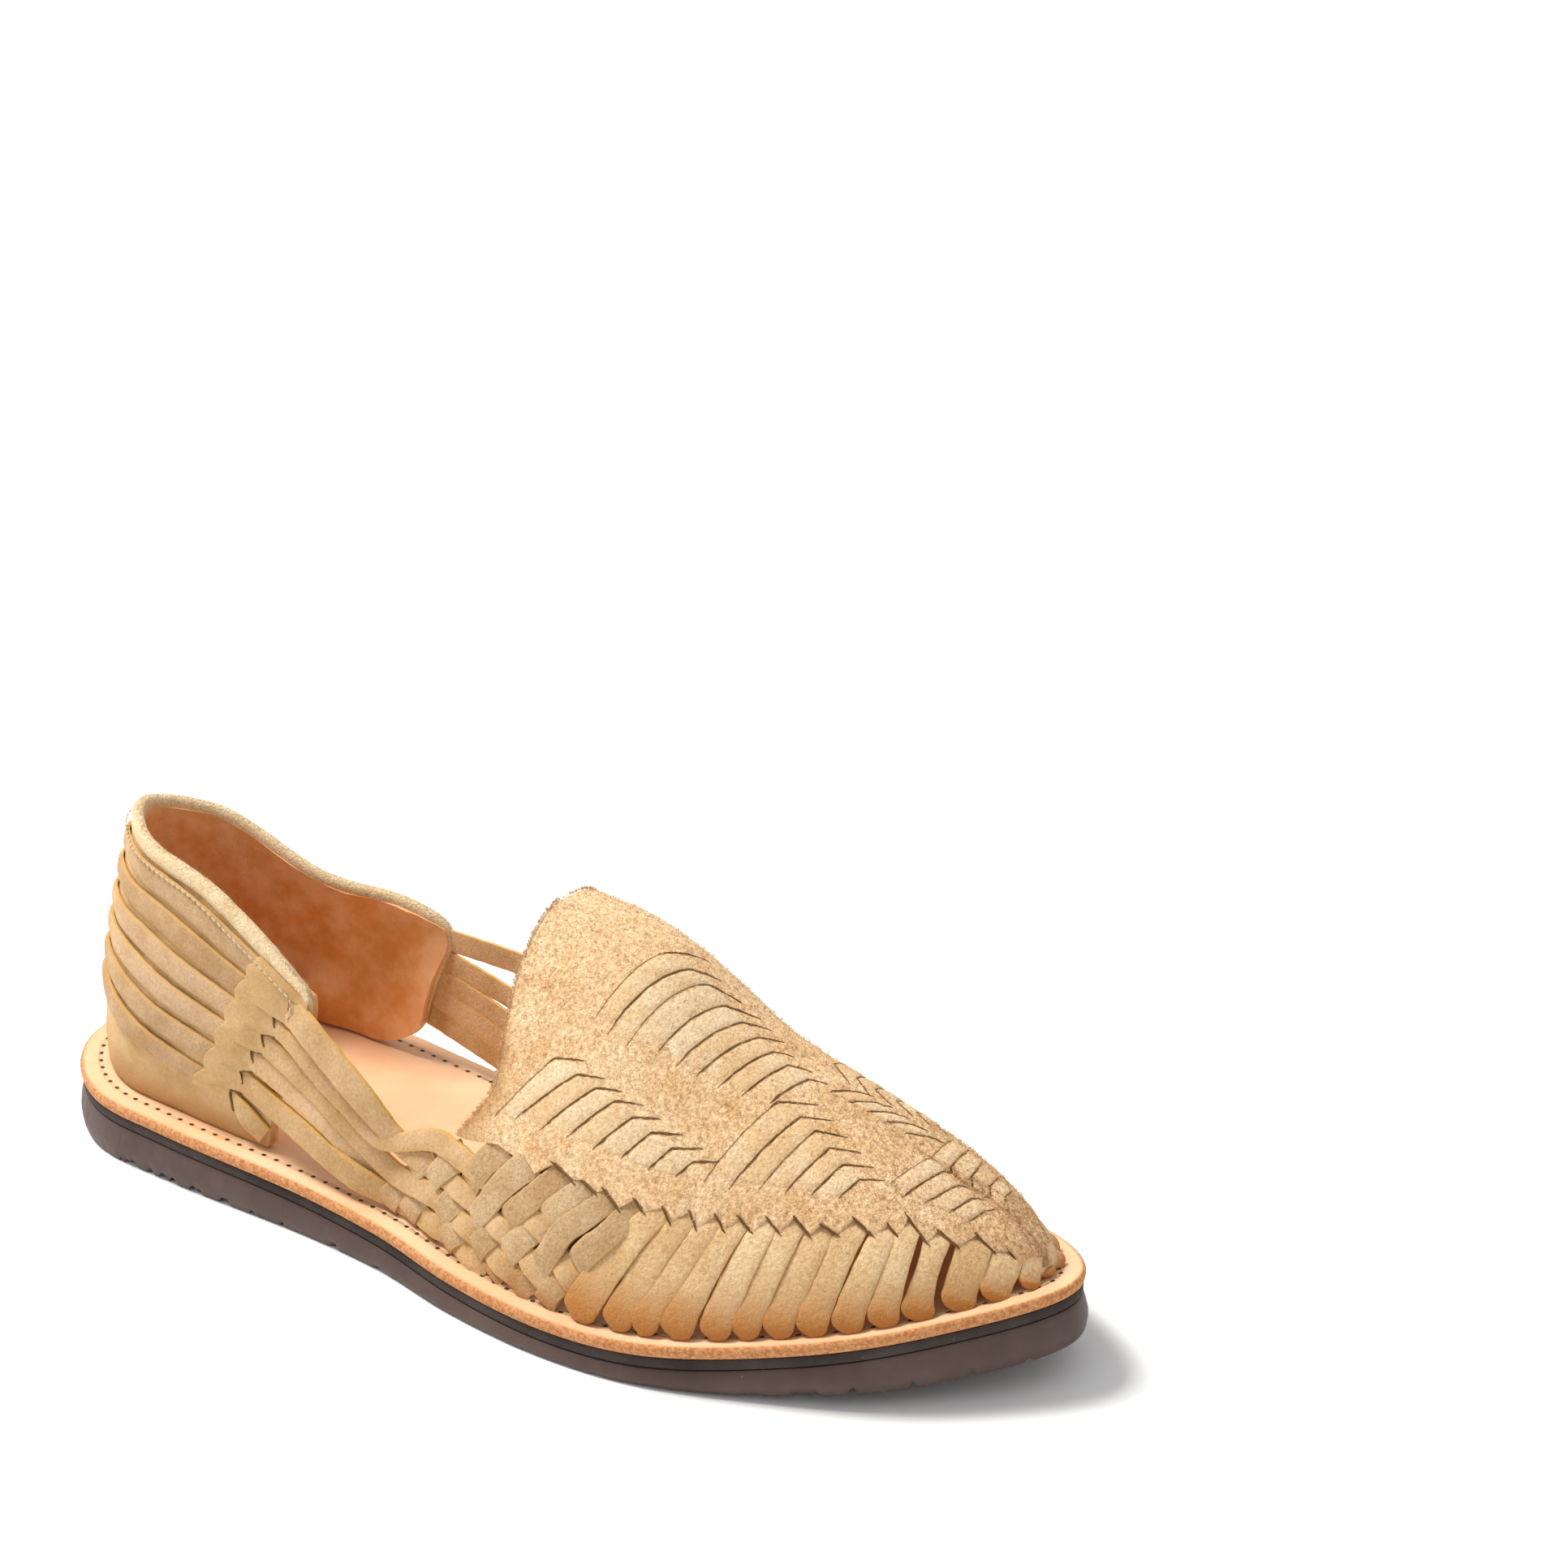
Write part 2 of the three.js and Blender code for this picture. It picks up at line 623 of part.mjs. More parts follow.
const outsole = soleLayer([
  { inset: 0, height: groundHeight },
  { inset: -OUTSOLE_FLARE, height: (x) => THREE.MathUtils.lerp(groundHeight(x), outsoleTop(x), 0.35) },
  { inset: MIDSOLE_SETBACK, height: outsoleTop },
]);
const treadedOutsole = treadGrooves().reduce((body, cut) => body.subtract(cut), outsole);
const midsole = soleLayer([
  { inset: MIDSOLE_SETBACK, height: midsoleBottom },
  { inset: MIDSOLE_SETBACK, height: (x) => seatHeight(x) - GAP },
]);
const insole = soleLayer([
  { inset: MIDSOLE_SETBACK / 2, height: seatHeight },
  { inset: 0, height: (x) => seatHeight(x) + INSOLE_THICKNESS * 0.7 },
  { inset: MIDSOLE_SETBACK, height: footbedHeight },
]);

// Everything up to the seating gap over the insole, which the upper's foot stays clear of
const underfoot = soleLayer([
  { inset: -LEDGE, height: (x) => seatHeight(x) - INSOLE_THICKNESS },
  { inset: -LEDGE, height: (x) => footbedHeight(x) + GAP },
]);
const vamp = join([
  wall(vampSurface, 16, 18, UPPER_WALL),
  ...toeStrips(-1),
  ...toeStrips(1),
  ...sideWeave(-1),
  ...sideWeave(1),
  ...threadedStrips(),
  ...sideStraps(OUTER_STRAPS, -1),
  ...sideStraps(INNER_STRAPS, 1),
]).subtract(underfoot);
const quarter = join([
  wall(quarterSurface, 18, 5, UPPER_WALL),
  ...heelStraps(-1),
  ...heelStraps(1),
]).subtract(underfoot);

const sandal = new THREE.Group();
sandal.add(
  named('outsole', treadedOutsole, 0x5e4c48, 0.55),
  named('midsole', midsole, 0x3e332f, 0.7),
  named('insole', insole, 0xe3a981, 0.6),
  named('vamp', vamp, 0xdab985, 0.95),
  named('heel_quarter', quarter, 0xc9a878, 0.9),
);

// The origin lies under the middle of the sole
const box = new THREE.Box3().setFromObject(sandal);
sandal.position.set(-(box.min.x + box.max.x) / 2, -(box.min.y + box.max.y) / 2, -box.min.z);

export default sandal;
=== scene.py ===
"""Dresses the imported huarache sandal: woven suede upper, leather insole and rubber sole.

Everything is in metres in the row frame: X runs from heel to toe, Y to the inner side, Z up.
"""

import logging
from dataclasses import dataclass, field
from enum import Enum
from typing import Callable

import bmesh
import bpy
import numpy as np
from mathutils import Matrix


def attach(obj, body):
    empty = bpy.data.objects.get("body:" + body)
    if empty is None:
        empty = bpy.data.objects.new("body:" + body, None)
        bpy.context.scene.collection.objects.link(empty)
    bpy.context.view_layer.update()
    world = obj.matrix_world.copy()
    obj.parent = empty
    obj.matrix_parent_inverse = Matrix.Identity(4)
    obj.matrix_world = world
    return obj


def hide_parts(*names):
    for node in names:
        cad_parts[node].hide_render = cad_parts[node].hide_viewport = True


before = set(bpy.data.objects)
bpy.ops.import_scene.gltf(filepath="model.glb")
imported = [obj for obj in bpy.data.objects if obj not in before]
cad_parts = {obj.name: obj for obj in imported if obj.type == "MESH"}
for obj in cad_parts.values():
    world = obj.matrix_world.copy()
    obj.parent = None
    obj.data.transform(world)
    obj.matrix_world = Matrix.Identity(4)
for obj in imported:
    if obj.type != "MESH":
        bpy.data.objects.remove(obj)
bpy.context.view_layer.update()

log = logging.getLogger("sandal")

Array = np.ndarray
Table = dict[str, tuple[float, ...]]

# Half widths of the sole each side of its axis, as shares of the ball width
SOLE_OUTLINE: Table = {
    "along": (0.0, 0.08, 0.17, 0.31, 0.43, 0.53, 0.63, 0.72, 0.81, 0.9, 0.965, 1.0),
    "lateral": (0.64, 0.6, 0.5, 0.435, 0.448, 0.52, 0.582, 0.613, 0.597, 0.575, 0.494, 0.44),
    "medial": (0.62, 0.6, 0.515, 0.385, 0.33, 0.352, 0.42, 0.474, 0.505, 0.49, 0.455, 0.43),
}
# Height of the insole's underside, as a share of the way from ball to heel or ball to toe
SEAT_LINE: Table = {
    "along": (0.0, 0.28, 0.62, 0.78, 1.0),
    "height": (0.0138, 0.011316, 0.0068, 0.009367, 0.0219),
}
# Ridge of the vamp: height as a share of the instep, offset, and fullness of the section
RIDGE_LINE: Table = {
    "along": (0.0, 0.175, 0.284, 0.391, 0.507, 0.644, 0.82, 1.0),
    "height": (0.99, 0.96, 0.9, 0.735, 0.62, 0.52, 0.425, 0.38),
    "offset": (-0.003, -0.002, 0.0, 0.001, 0.002, 0.004, 0.006, 0.007),
    "foot": (1.05, 1.05, 1.2, 1.35, 1.5, 1.7, 1.9, 2.0),
    "outer": (1.9, 1.9, 1.9, 1.95, 2.0, 2.0, 2.0, 2.0),
    "inner": (3.5, 3.5, 2.25, 1.85, 1.9, 2.0, 2.0, 2.0),
}
# Back edge of the vamp and its side weave, against the lift up the wall
THROAT_LINE: Table = {
    "lift": (0.0, 0.08, 0.16, 0.25, 0.36, 0.6, 1.0),
    "outer": (0.005, 0.035, 0.09, 0.125, 0.157, 0.156, 0.163),
    "inner": (0.05, 0.06, 0.08, 0.1, 0.13, 0.14, 0.163),
}
# Collar from the outer wing, round the heel, to the inner wing, as shares of the
# wing length, the ball width and the heel height
COLLAR_LINE: Table = {
    "turn": (0.0, 0.12, 0.25, 0.4, 0.5, 0.6, 0.75, 0.88, 1.0),
    "along": (1.23, 1.0, 0.75, 0.42, 0.215, 0.36, 0.68, 0.94, 1.12),
    "across": (-0.31, -0.27, -0.235, -0.175, 0.0, 0.16, 0.235, 0.3, 0.335),
    "height": (0.7, 0.81, 0.92, 0.985, 1.0, 0.93, 0.755, 0.7, 0.62),
}


def smooth(table: Table, key: str, column: str, place: Array | float) -> Array:
    """Cubic Hermite value of a table's column, with centred slopes, held at the ends.

    Args:
        table: Rows of values.
        key: Column of the places.
        column: Column of the values.
        place: Where the value is wanted.

    Returns:
        The value at each place.
    """
    x, y = np.array(table[key]), np.array(table[column])
    last = len(x) - 1
    before = np.maximum(np.arange(last + 1) - 1, 0)
    after = np.minimum(np.arange(last + 1) + 1, last)
    slope = (y[after] - y[before]) / (x[after] - x[before])
    row = np.clip(np.searchsorted(x, place, side="left") - 1, 0, last - 1)
    span = x[row + 1] - x[row]
    s = np.clip((place - x[row]) / span, 0, 1)
    bend = s * (1 - s) ** 2 * span * slope[row] + s * s * (s - 1) * span * slope[row + 1]
    return y[row] + (y[row + 1] - y[row]) * s * s * (3 - 2 * s) + bend


def unit(vector: Array) -> Array:
    """Vectors along the last axis at unit length."""
    return vector / np.maximum(np.linalg.norm(vector, axis=-1, keepdims=True), 1e-12)


def same_shape(first: Array | float, second: Array | float) -> tuple[Array, Array]:
    """Two values as float arrays of one shape."""
    return np.broadcast_arrays(np.asarray(first, float), np.asarray(second, float))


@dataclass(frozen=True)
class SolePlan:
    """Outline and levels of the sole."""

    length: float = 0.292
    ball_width: float = 0.1
    tip_offset: float = 0.004
    insole: float = 0.003
    toe_spring: float = 0.0095
    spring_start: float = 0.68
    origin: tuple[float, float] = (0.146, -0.0049536)

    def turn_at(self, x: Array | float) -> Array:
        """Turn of the outline at a distance from the heel's end."""
        return np.arccos(np.clip(1 - 2 * np.asarray(x) / self.length, -1, 1)) / np.pi

    def outline(self, side: Array | float, turn: Array | float, inset: Array | float = 0.0) -> tuple[Array, Array]:
        """Edge of the sole, moved square to itself.

        Args:
            side: -1 for the outer side, 1 for the inner side.
            turn: 0 at the heel's end, 1 at the tip; the distance goes with the cosine of the turn.
            inset: How far the line lies inside the edge.

        Returns:
            Distance from the heel's end, and offset to the inner side.
        """
        side, turn, inset = np.broadcast_arrays(np.asarray(side, float), turn, inset)
        step = 0.002

        def edge(t: Array) -> tuple[Array, Array]:
            """Distance and offset of the edge itself at a turn."""
            share = (1 - np.cos(np.pi * t)) / 2
            half = np.where(side < 0, smooth(SOLE_OUTLINE, "along", "lateral", share),
                            smooth(SOLE_OUTLINE, "along", "medial", share))
            return (self.length * share,
                    self.tip_offset * share ** 2 + side * half * self.ball_width * np.sin(np.pi * t))

        x, y = edge(turn)
        ahead, behind = edge(np.minimum(turn + step, 1)), edge(np.maximum(turn - step, 0))
        run, rise = ahead[0] - behind[0], ahead[1] - behind[1]
        size = np.hypot(run, rise)
        run, rise = run / size, rise / size
        ends = (turn <= 0) | (turn >= 1)
        run = np.where(ends, 0, run)
        rise = np.where(turn <= 0, side, np.where(turn >= 1, -side, rise))
        return x + side * rise * inset, y - side * run * inset

    def seat(self, x: Array) -> Array:
        """Height of the insole's underside at a distance from the heel's end."""
        return smooth(SEAT_LINE, "along", "height", np.clip(x / self.length, 0, 1))

    def footbed(self, x: Array) -> Array:
        """Height of the insole's top."""
        return self.seat(x) + self.insole

    def ground(self, x: Array) -> Array:
        """Height of the outsole's underside, which rises toward the toe with a square law."""
        share = np.maximum(x / self.length - self.spring_start, 0) / (1 - self.spring_start)
        return self.toe_spring * share ** 2

    def place(self, x: Array, y: Array, z: Array) -> Array:
        """Points in the row frame from distances along and across the sole."""
        x, y, z = np.broadcast_arrays(x - self.origin[0], y - self.origin[1], z)
        return np.stack([x, y, z], axis=-1)


@dataclass(frozen=True)
class VampForm:
    """Outer face of the vamp between its feet on the insole and its ridge."""

    sole: SolePlan = SolePlan()
    start: float = 0.115
    ridge_end: float = 0.268
    instep: float = 0.09
    outer_ledge: float = 0.0075
    inner_ledge: float = 0.007
    toe_ledge: float = 0.009
    spread: float = 0.0016
    gap: float = 0.0003

    def foot(self, side: Array | float, along: Array) -> Array:
        """Where a station stands on the insole, inside the outline by its ledge.

        Args:
            side: -1 for the outer side, 1 for the inner side.
            along: Station, 0 at the throat and 1 at the tip.

        Returns:
            Distance along the sole, offset and height.
        """
        first = self.sole.turn_at(self.start)
        turn = first + (1 - first) * along
        edge = np.where(np.asarray(side) < 0, self.outer_ledge, self.inner_ledge)
        inset = edge + (self.toe_ledge - edge) * along ** 4 - self.spread * np.sin(np.pi * np.clip(along, 0, 1))
        x, y = self.sole.outline(side, np.clip(turn, 0, 1), inset)
        return np.stack(np.broadcast_arrays(x, y, self.sole.footbed(x) + self.gap), axis=-1)

    def ridge(self, along: Array) -> Array:
        """Top of the section: it runs forward with the sine of the station.

        Args:
            along: Station, 0 at the throat and 1 at the tip.

        Returns:
            Distance along the sole, offset and height.
        """
        x = self.start + (self.ridge_end - self.start) * np.sin(np.pi * np.clip(along, 0, 1) / 2)
        y = smooth(RIDGE_LINE, "along", "offset", along)
        return np.stack([x, y, self.instep * smooth(RIDGE_LINE, "along", "height", along)], axis=-1)

    def point(self, along: Array | float, across: Array | float) -> Array:
        """Point at a station and a place across: -1 outer foot, 0 ridge, 1 inner foot.

        The section is a superellipse: its height is the sine of the lift, and it moves
        inward by one less the root of one less a power of that sine.

        Args:
            along: Station, 0 at the throat and 1 at the tip.
            across: Place across the section.

        Returns:
            Points in the row frame.
        """
        along, across = same_shape(along, across)
        lift = 1 - np.minimum(np.abs(across), 1)
        foot, ridge = self.foot(np.where(across < 0, -1.0, 1.0), along), self.ridge(along)
        up = np.sin(np.pi * lift / 2)
        crown = np.where(across < 0, smooth(RIDGE_LINE, "along", "outer", along),
                         smooth(RIDGE_LINE, "along", "inner", along))
        root = np.maximum(1 - up ** smooth(RIDGE_LINE, "along", "foot", along), 0)
        inward = 1 - root ** (1 / crown)
        share = np.stack([inward, inward, up], axis=-1)
        place = foot + (ridge - foot) * share
        return self.sole.place(place[..., 0], place[..., 1], place[..., 2])

    def normal(self, along: Array | float, across: Array | float) -> Array:
        """Unit vector out of the face, blended across the ridge and down the toe.

        Args:
            along: Station.
            across: Place across the section.

        Returns:
            Unit vectors out of the face.
        """
        along, across = same_shape(along, across)
        along, across = np.clip(along, 0.0, 0.985), np.clip(across, -0.99, 0.99)
        step, blend = 0.004, 0.03

        def square(u: Array, v: Array) -> Array:
            """Direction square to two short steps along and across the face."""
            run = self.point(np.minimum(u + step, 1), v) - self.point(u - step, v)
            rise = self.point(u, v + step) - self.point(u, v - step)
            return unit(np.cross(run, rise))

        near = np.clip(np.abs(across) / blend, 0, 1)[..., None]
        aside = np.where(np.abs(across) < blend, np.where(across < 0, -blend, blend), across)
        mean = square(along, np.full_like(along, -blend)) + square(along, np.full_like(along, blend))
        return unit(square(along, aside) * near + mean / 2 * (1 - near))

    def throat(self, side: float, lift: Array) -> Array:
        """Station of the vamp's back edge at a lift up one side."""
        return smooth(THROAT_LINE, "lift", "outer" if side < 0 else "inner", lift)


@dataclass(frozen=True)
class QuarterForm:
    """Outer face of the heel quarter from the footbed to the collar."""

    sole: SolePlan = SolePlan()
    height: float = 0.083
    wing: float = 0.083
    ledge: float = 0.0075
    bulge: float = 0.0024
    lean_power: float = 1.7
    gap: float = 0.0003

    def point(self, turn: Array | float, climb: Array | float) -> Array:
        """Point at a turn (0 outer wing, 0.5 heel, 1 inner wing) and a climb from foot to collar.

        The wall leans in with a power of the climb, and bulges with the sine of half a turn of it.

        Args:
            turn: Place round the heel.
            climb: 0 at the foot, 1 at the collar.

        Returns:
            Points in the row frame.
        """
        turn, climb = same_shape(turn, climb)
        side = np.where(turn < 0.5, -1.0, 1.0)
        x, y = self.sole.outline(side, self.sole.turn_at(self.wing) * np.abs(1 - 2 * turn), self.ledge)
        foot = np.stack([x, y, self.sole.footbed(x) + self.gap], axis=-1)
        top = np.stack([self.wing * smooth(COLLAR_LINE, "turn", "along", turn),
                        self.sole.ball_width * smooth(COLLAR_LINE, "turn", "across", turn),
                        self.height * smooth(COLLAR_LINE, "turn", "height", turn)], axis=-1)
        lean = np.maximum(climb, 0) ** self.lean_power
        share = np.stack([lean, lean, climb], axis=-1)
        swell = self.bulge * np.sin(np.pi * np.clip(climb, 0, 1)) * np.sin(np.pi * np.clip(turn, 0, 1))
        angle = np.pi * (2 * turn - 1) / 2
        out = np.stack([-np.cos(angle), np.sin(angle), np.zeros_like(angle)], axis=-1)
        place = foot + (top - foot) * share + out * swell[..., None]
        return self.sole.place(place[..., 0], place[..., 1], place[..., 2])

    def normal(self, turn: Array | float, climb: Array | float) -> Array:
        """Unit vector out of the heel, from two short steps round and up the wall.

        Args:
            turn: Place round the heel.
            climb: Share of the way up the wall.

        Returns:
            Unit vectors out of the wall.
        """
        turn, climb = same_shape(turn, climb)
        turn, climb = np.clip(turn, 0.0, 1.0), np.clip(climb, 0.01, 0.99)
        step = 0.004
        run = self.point(np.minimum(turn + step, 1), climb) - self.point(np.maximum(turn - step, 0), climb)
        rise = self.point(turn, climb + step) - self.point(turn, climb - step)
        return -unit(np.cross(run, rise))


class Side(Enum):
    """The two sides of the shoe, by the sign of Y."""

    OUTER = -1
    INNER = 1


def eased(share: Array | float) -> Array:
    """Smooth step from 0 to 1: three squares less two cubes."""
    s = np.clip(share, 0, 1)
    return s * s * (3 - 2 * s)


def along_path(points: Array, count: int) -> tuple[Array, Array]:
    """Resamples control rows evenly by length on a Catmull-Rom curve.

    Args:
        points: Control rows; the first three columns are a place and set the length.
        count: How many rows to return.

    Returns:
        The rows, and the length at each of them.
    """
    points = np.asarray(points, float)
    padded = np.vstack([2 * points[0] - points[1], points, 2 * points[-1] - points[-2]])
    s = np.linspace(0, len(points) - 1, 24 * len(points))
    i = np.minimum(s.astype(int), len(points) - 2)
    t = (s - i)[:, None]
    a, b, c, d = (padded[i + k] for k in range(4))
    rows = 0.5 * (2 * b + (c - a) * t + (2 * a - 5 * b + 4 * c - d) * t ** 2
                  + (3 * b - a - 3 * c + d) * t ** 3)
    length = np.concatenate([[0], np.cumsum(np.linalg.norm(np.diff(rows[:, :3], axis=0), axis=1))])
    even = np.linspace(0, length[-1], count)
    return np.stack([np.interp(even, length, rows[:, k]) for k in range(rows.shape[1])], axis=1), even


def wobble(places: Array, size: float, seed: int) -> Array:
    """Smooth seeded noise between -1 and 1: a sum of five sine waves in turned directions.

    Args:
        places: Points, in metres.
        size: Length of the noise's main wave, in metres.
        seed: Picks the directions and phases.

    Returns:
        The noise at each point.
    """
    rng = np.random.default_rng(seed)
    total = np.zeros(places.shape[:-1])
    for _ in range(5):
        direction = unit(rng.normal(size=3)) * 2 * np.pi / (size * rng.uniform(0.55, 1.3))
        total += np.sin(places @ direction + rng.uniform(0, 2 * np.pi)) / 2.2
    return np.clip(total / 2, -1, 1)


@dataclass
class Shell:
    """Gathers patches of quads into one mesh with a surface map and a finish map."""

    name: str
    points: list[Array] = field(default_factory=list)
    quads: list[Array] = field(default_factory=list)
    surface: list[Array] = field(default_factory=list)
    finish: list[Array] = field(default_factory=list)
    count: int = 0

    def add(self, points: Array, quads: Array, surface: Array, finish: Array) -> None:
        """Adds points with their faces, surface map (metres) and finish map (tone, and a darker foot tone with painted
        shade).

        Args:
            points: Points of the patch.
            quads: Faces, by the number of each point in the patch.
            surface: Surface map of the points, in metres.
            finish: Finish map of the points, or one pair for all.
        """
        self.quads.append(np.asarray(quads) + self.count)
        self.points.append(points.reshape(-1, 3))
        self.surface.append(surface.reshape(-1, 2))
        self.finish.append(np.broadcast_to(finish, (len(self.points[-1]), 2)))
        self.count += len(self.points[-1])

    def slab(self, top: Array, bottom: Array, surface: Array, finish: Array | tuple,
             closed_end: bool = False) -> None:
        """Closes two grids of the same shape into a wall, with faces turned outwards.

        Args:
            top: Outer face (row, column, 3).
            bottom: Inner face of the same shape.
            surface: Surface map of both faces.
            finish: Finish map of both faces, or one pair for all points.
            closed_end: Leaves out the last row's side, where the two faces meet.
        """
        rows, columns = top.shape[:2]
        index = np.arange(rows * columns).reshape(rows, columns)
        face = np.stack([index[:-1, :-1], index[1:, :-1], index[1:, 1:], index[:-1, 1:]], -1).reshape(-1, 4)
        rim = np.concatenate([index[0, :-1], index[:-1, -1], index[-1, :0:-1], index[:0:-1, 0]])
        ahead = np.roll(rim, -1)
        step = rows * columns
        side = np.stack([rim, ahead, ahead + step, rim + step], -1)
        if closed_end:
            side = side[~(np.isin(rim, index[-1]) & np.isin(ahead, index[-1]))]
        quads = np.concatenate([face, face[:, ::-1] + step, side])
        run, rise = top[1:, :-1] - top[:-1, :-1], top[:-1, 1:] - top[:-1, :-1]
        if (np.cross(run, rise) * (top - bottom)[:-1, :-1]).sum() < 0:
            quads = quads[:, ::-1]
        finish = np.broadcast_to(finish, top.shape[:2] + (2,)).reshape(-1, 2)
        self.add(np.concatenate([top.reshape(-1, 3), bottom.reshape(-1, 3)]), quads,
                 np.concatenate([surface.reshape(-1, 2)] * 2), np.concatenate([finish] * 2))

    def tube(self, rings: Array, surface: Array, finish: Array | tuple, capped: bool = False) -> None:
        """Joins closed rings of points into a skin, with faces turned outwards.

        Args:
            rings: Points (ring, point, 3).
            surface: Surface map of the points.
            finish: Finish map, or one pair for all points.
            capped: Closes the first and the last ring with quads across them.
        """
        rows, columns = rings.shape[:2]
        index = np.arange(rows * columns).reshape(rows, columns)
        ahead = np.roll(index, -1, axis=1)
        quads = np.stack([index[:-1], index[1:], ahead[1:], ahead[:-1]], -1).reshape(-1, 4)
        run, rise = rings[1:] - rings[:-1], (np.roll(rings, -1, axis=1) - rings)[:-1]
        out = (rings - rings.mean(axis=1, keepdims=True))[:-1]
        if (np.cross(run, rise) * out).sum() < 0:
            quads = quads[:, ::-1]
        if capped:
            half = columns // 2
            for ring in (0, rows - 1):
                k = np.arange(half - 1)
                cap = np.stack([index[ring, k], index[ring, k + 1], index[ring, columns - 2 - k],
                                index[ring, columns - 1 - k]], -1)
                quads = np.concatenate([quads, cap])
        self.add(rings, quads, surface, finish)

    def build(self, material: bpy.types.Material, slot: str, node: str, sharp: float = 55.0,
              weld: bool = False) -> None:
        """Makes the mesh object, which stands in for a CAD node and rides on the shoe's body.

        Args:
            material: Finish of the piece.
            slot: Material slot of the record; not used.
            node: CAD node that the piece replaces.
            sharp: Angle in degrees above which an edge is shaded sharp.
            weld: Joins the points that meet at seams and ends.
        """
        points, quads = np.concatenate(self.points), np.concatenate(self.quads)
        mesh = bpy.data.meshes.new(self.name)
        mesh.vertices.add(len(points))
        mesh.vertices.foreach_set("co", points.astype(np.float32).ravel())
        mesh.loops.add(quads.size)
        mesh.loops.foreach_set("vertex_index", quads.astype(np.int32).ravel())
        mesh.polygons.add(len(quads))
        mesh.polygons.foreach_set("loop_start", np.arange(0, quads.size, 4, dtype=np.int32))
        mesh.update(calc_edges=True)
        maps = {"surface": np.concatenate(self.surface) * 1000, "finish": np.concatenate(self.finish)}
        for title, values in maps.items():
            layer = mesh.uv_layers.new(name=title)
            layer.data.foreach_set("uv", values[quads.ravel()].astype(np.float32).ravel())
        if weld:
            body = bmesh.new()
            body.from_mesh(mesh)
            bmesh.ops.remove_doubles(body, verts=body.verts, dist=2e-6)
            bmesh.ops.dissolve_degenerate(body, edges=body.edges, dist=1e-7)
            body.to_mesh(mesh)
            body.free()
        mesh.polygons.foreach_set("use_smooth", np.ones(len(mesh.polygons), bool))
        mesh.set_sharp_from_angle(angle=np.radians(sharp))
        mesh.materials.append(material)
        piece = bpy.data.objects.new(self.name, mesh)
        bpy.context.scene.collection.objects.link(piece)
        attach(piece, "root")
        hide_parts(node)
        log.info("%s: %d points, %d faces", self.name, len(mesh.vertices), len(mesh.polygons))


# Places across a strip, from edge to edge, closer together where its edges turn down
ACROSS = np.array([-1.0, -0.95, -0.84, -0.6, -0.25, 0.25, 0.6, 0.84, 0.95, 1.0])


# Length over which a slanted start straightens, and waves of a strip's top and of its edges
SLANT_REACH, GRAIN_LENGTH, GRAIN_HEIGHT, RAGGED_LENGTH = 0.012, 0.0021, 0.00005, 0.004


@dataclass(frozen=True)
class StripCut:
    """How a strip of suede is cut and pressed."""

    thickness: float = 0.0014
    edge_drop: float = 0.0005
    samples: int = 44
    start_round: float = 0.0
    tilt: float = 0.0
    raggedness: float = 0.00012
    slant: float = 0.0
    plateau: bool = False


def lay_strip(shell: Shell, stations: Array, cut: StripCut, seed: int) -> None:
    """Lays one pillow-section strip along control stations.

    The top is flat in the middle and drops at its edges with the fourth power of the place
    across; a round start narrows the strip as a half ellipse does, and a slanted start draws its
    upper edge back. On a plateau the rise stays near its highest and lowest levels.

    Args:
        shell: Mesh that takes the strip.
        stations: Rows of place (3), normal (3), width, rise and, if wanted, the darker tone of its foot.
        cut: Section and ends of the strip.
        seed: Picks its tone and the waviness of its edges.
    """
    rows, length = along_path(stations, cut.samples)
    centre, normal = rows[:, :3], unit(rows[:, 3:6])
    width, rise = rows[:, 6], rows[:, 7]
    if cut.plateau:
        lowest, highest = rise.min(), rise.max()
        rise = lowest + (highest - lowest) * eased(eased((rise - lowest) / (highest - lowest)))
    tangent = unit(np.gradient(centre, axis=0))
    side = unit(np.cross(normal, tangent))
    normal = unit(np.cross(tangent, side))
    narrow = np.ones_like(length)
    if cut.start_round > 0:
        narrow = np.sqrt(np.clip(1 - (1 - np.clip(length / cut.start_round, 0, 1)) ** 2, 0.03, 1))
    half = (width * narrow / 2)[:, None]
    rng = np.random.default_rng(seed)
    tone = rng.uniform(0, 1)
    wave = wobble(centre + 0.01 * seed, RAGGED_LENGTH, 7)[:, None] * cut.raggedness
    across = ACROSS[None, :]
    edge = wave * np.sign(across) * np.abs(across) ** 3
    lean = cut.tilt * across
    high = rise[:, None] - cut.edge_drop * across ** 4 + lean
    low = rise[:, None] - cut.thickness + 0.3 * cut.edge_drop * across ** 4 + lean
    back = cut.slant * across * (1 - eased(length[:, None] / SLANT_REACH))
    flat = centre[:, None] + side[:, None] * (across * half + edge)[..., None] - tangent[:, None] * back[..., None]
    top = flat + normal[:, None] * high[..., None]
    bottom = flat + normal[:, None] * low[..., None]
    top += normal[:, None] * (wobble(top, GRAIN_LENGTH, seed % 5) * GRAIN_HEIGHT)[..., None]
    surface = np.stack(np.broadcast_arrays(length[:, None], across * 0.001), -1)
    burn = rows[:, 8] if rows.shape[1] > 8 else np.zeros_like(length)
    finish = np.stack(np.broadcast_arrays(tone, burn[:, None] + 0 * across), -1)
    shell.slab(top, bottom, surface, finish)


def face_at(form: VampForm | QuarterForm, first: Array, second: Array) -> tuple[Array, Array]:
    """Places and normals at two shares on one of the last's faces."""
    return form.point(first, second), form.normal(first, second)


def on_surface(form: VampForm | QuarterForm, stations: Array) -> Array:
    """Rows of place and normal at stations (first share, second share) on one of the last's faces."""
    return np.hstack(face_at(form, *np.asarray(stations, float).T))


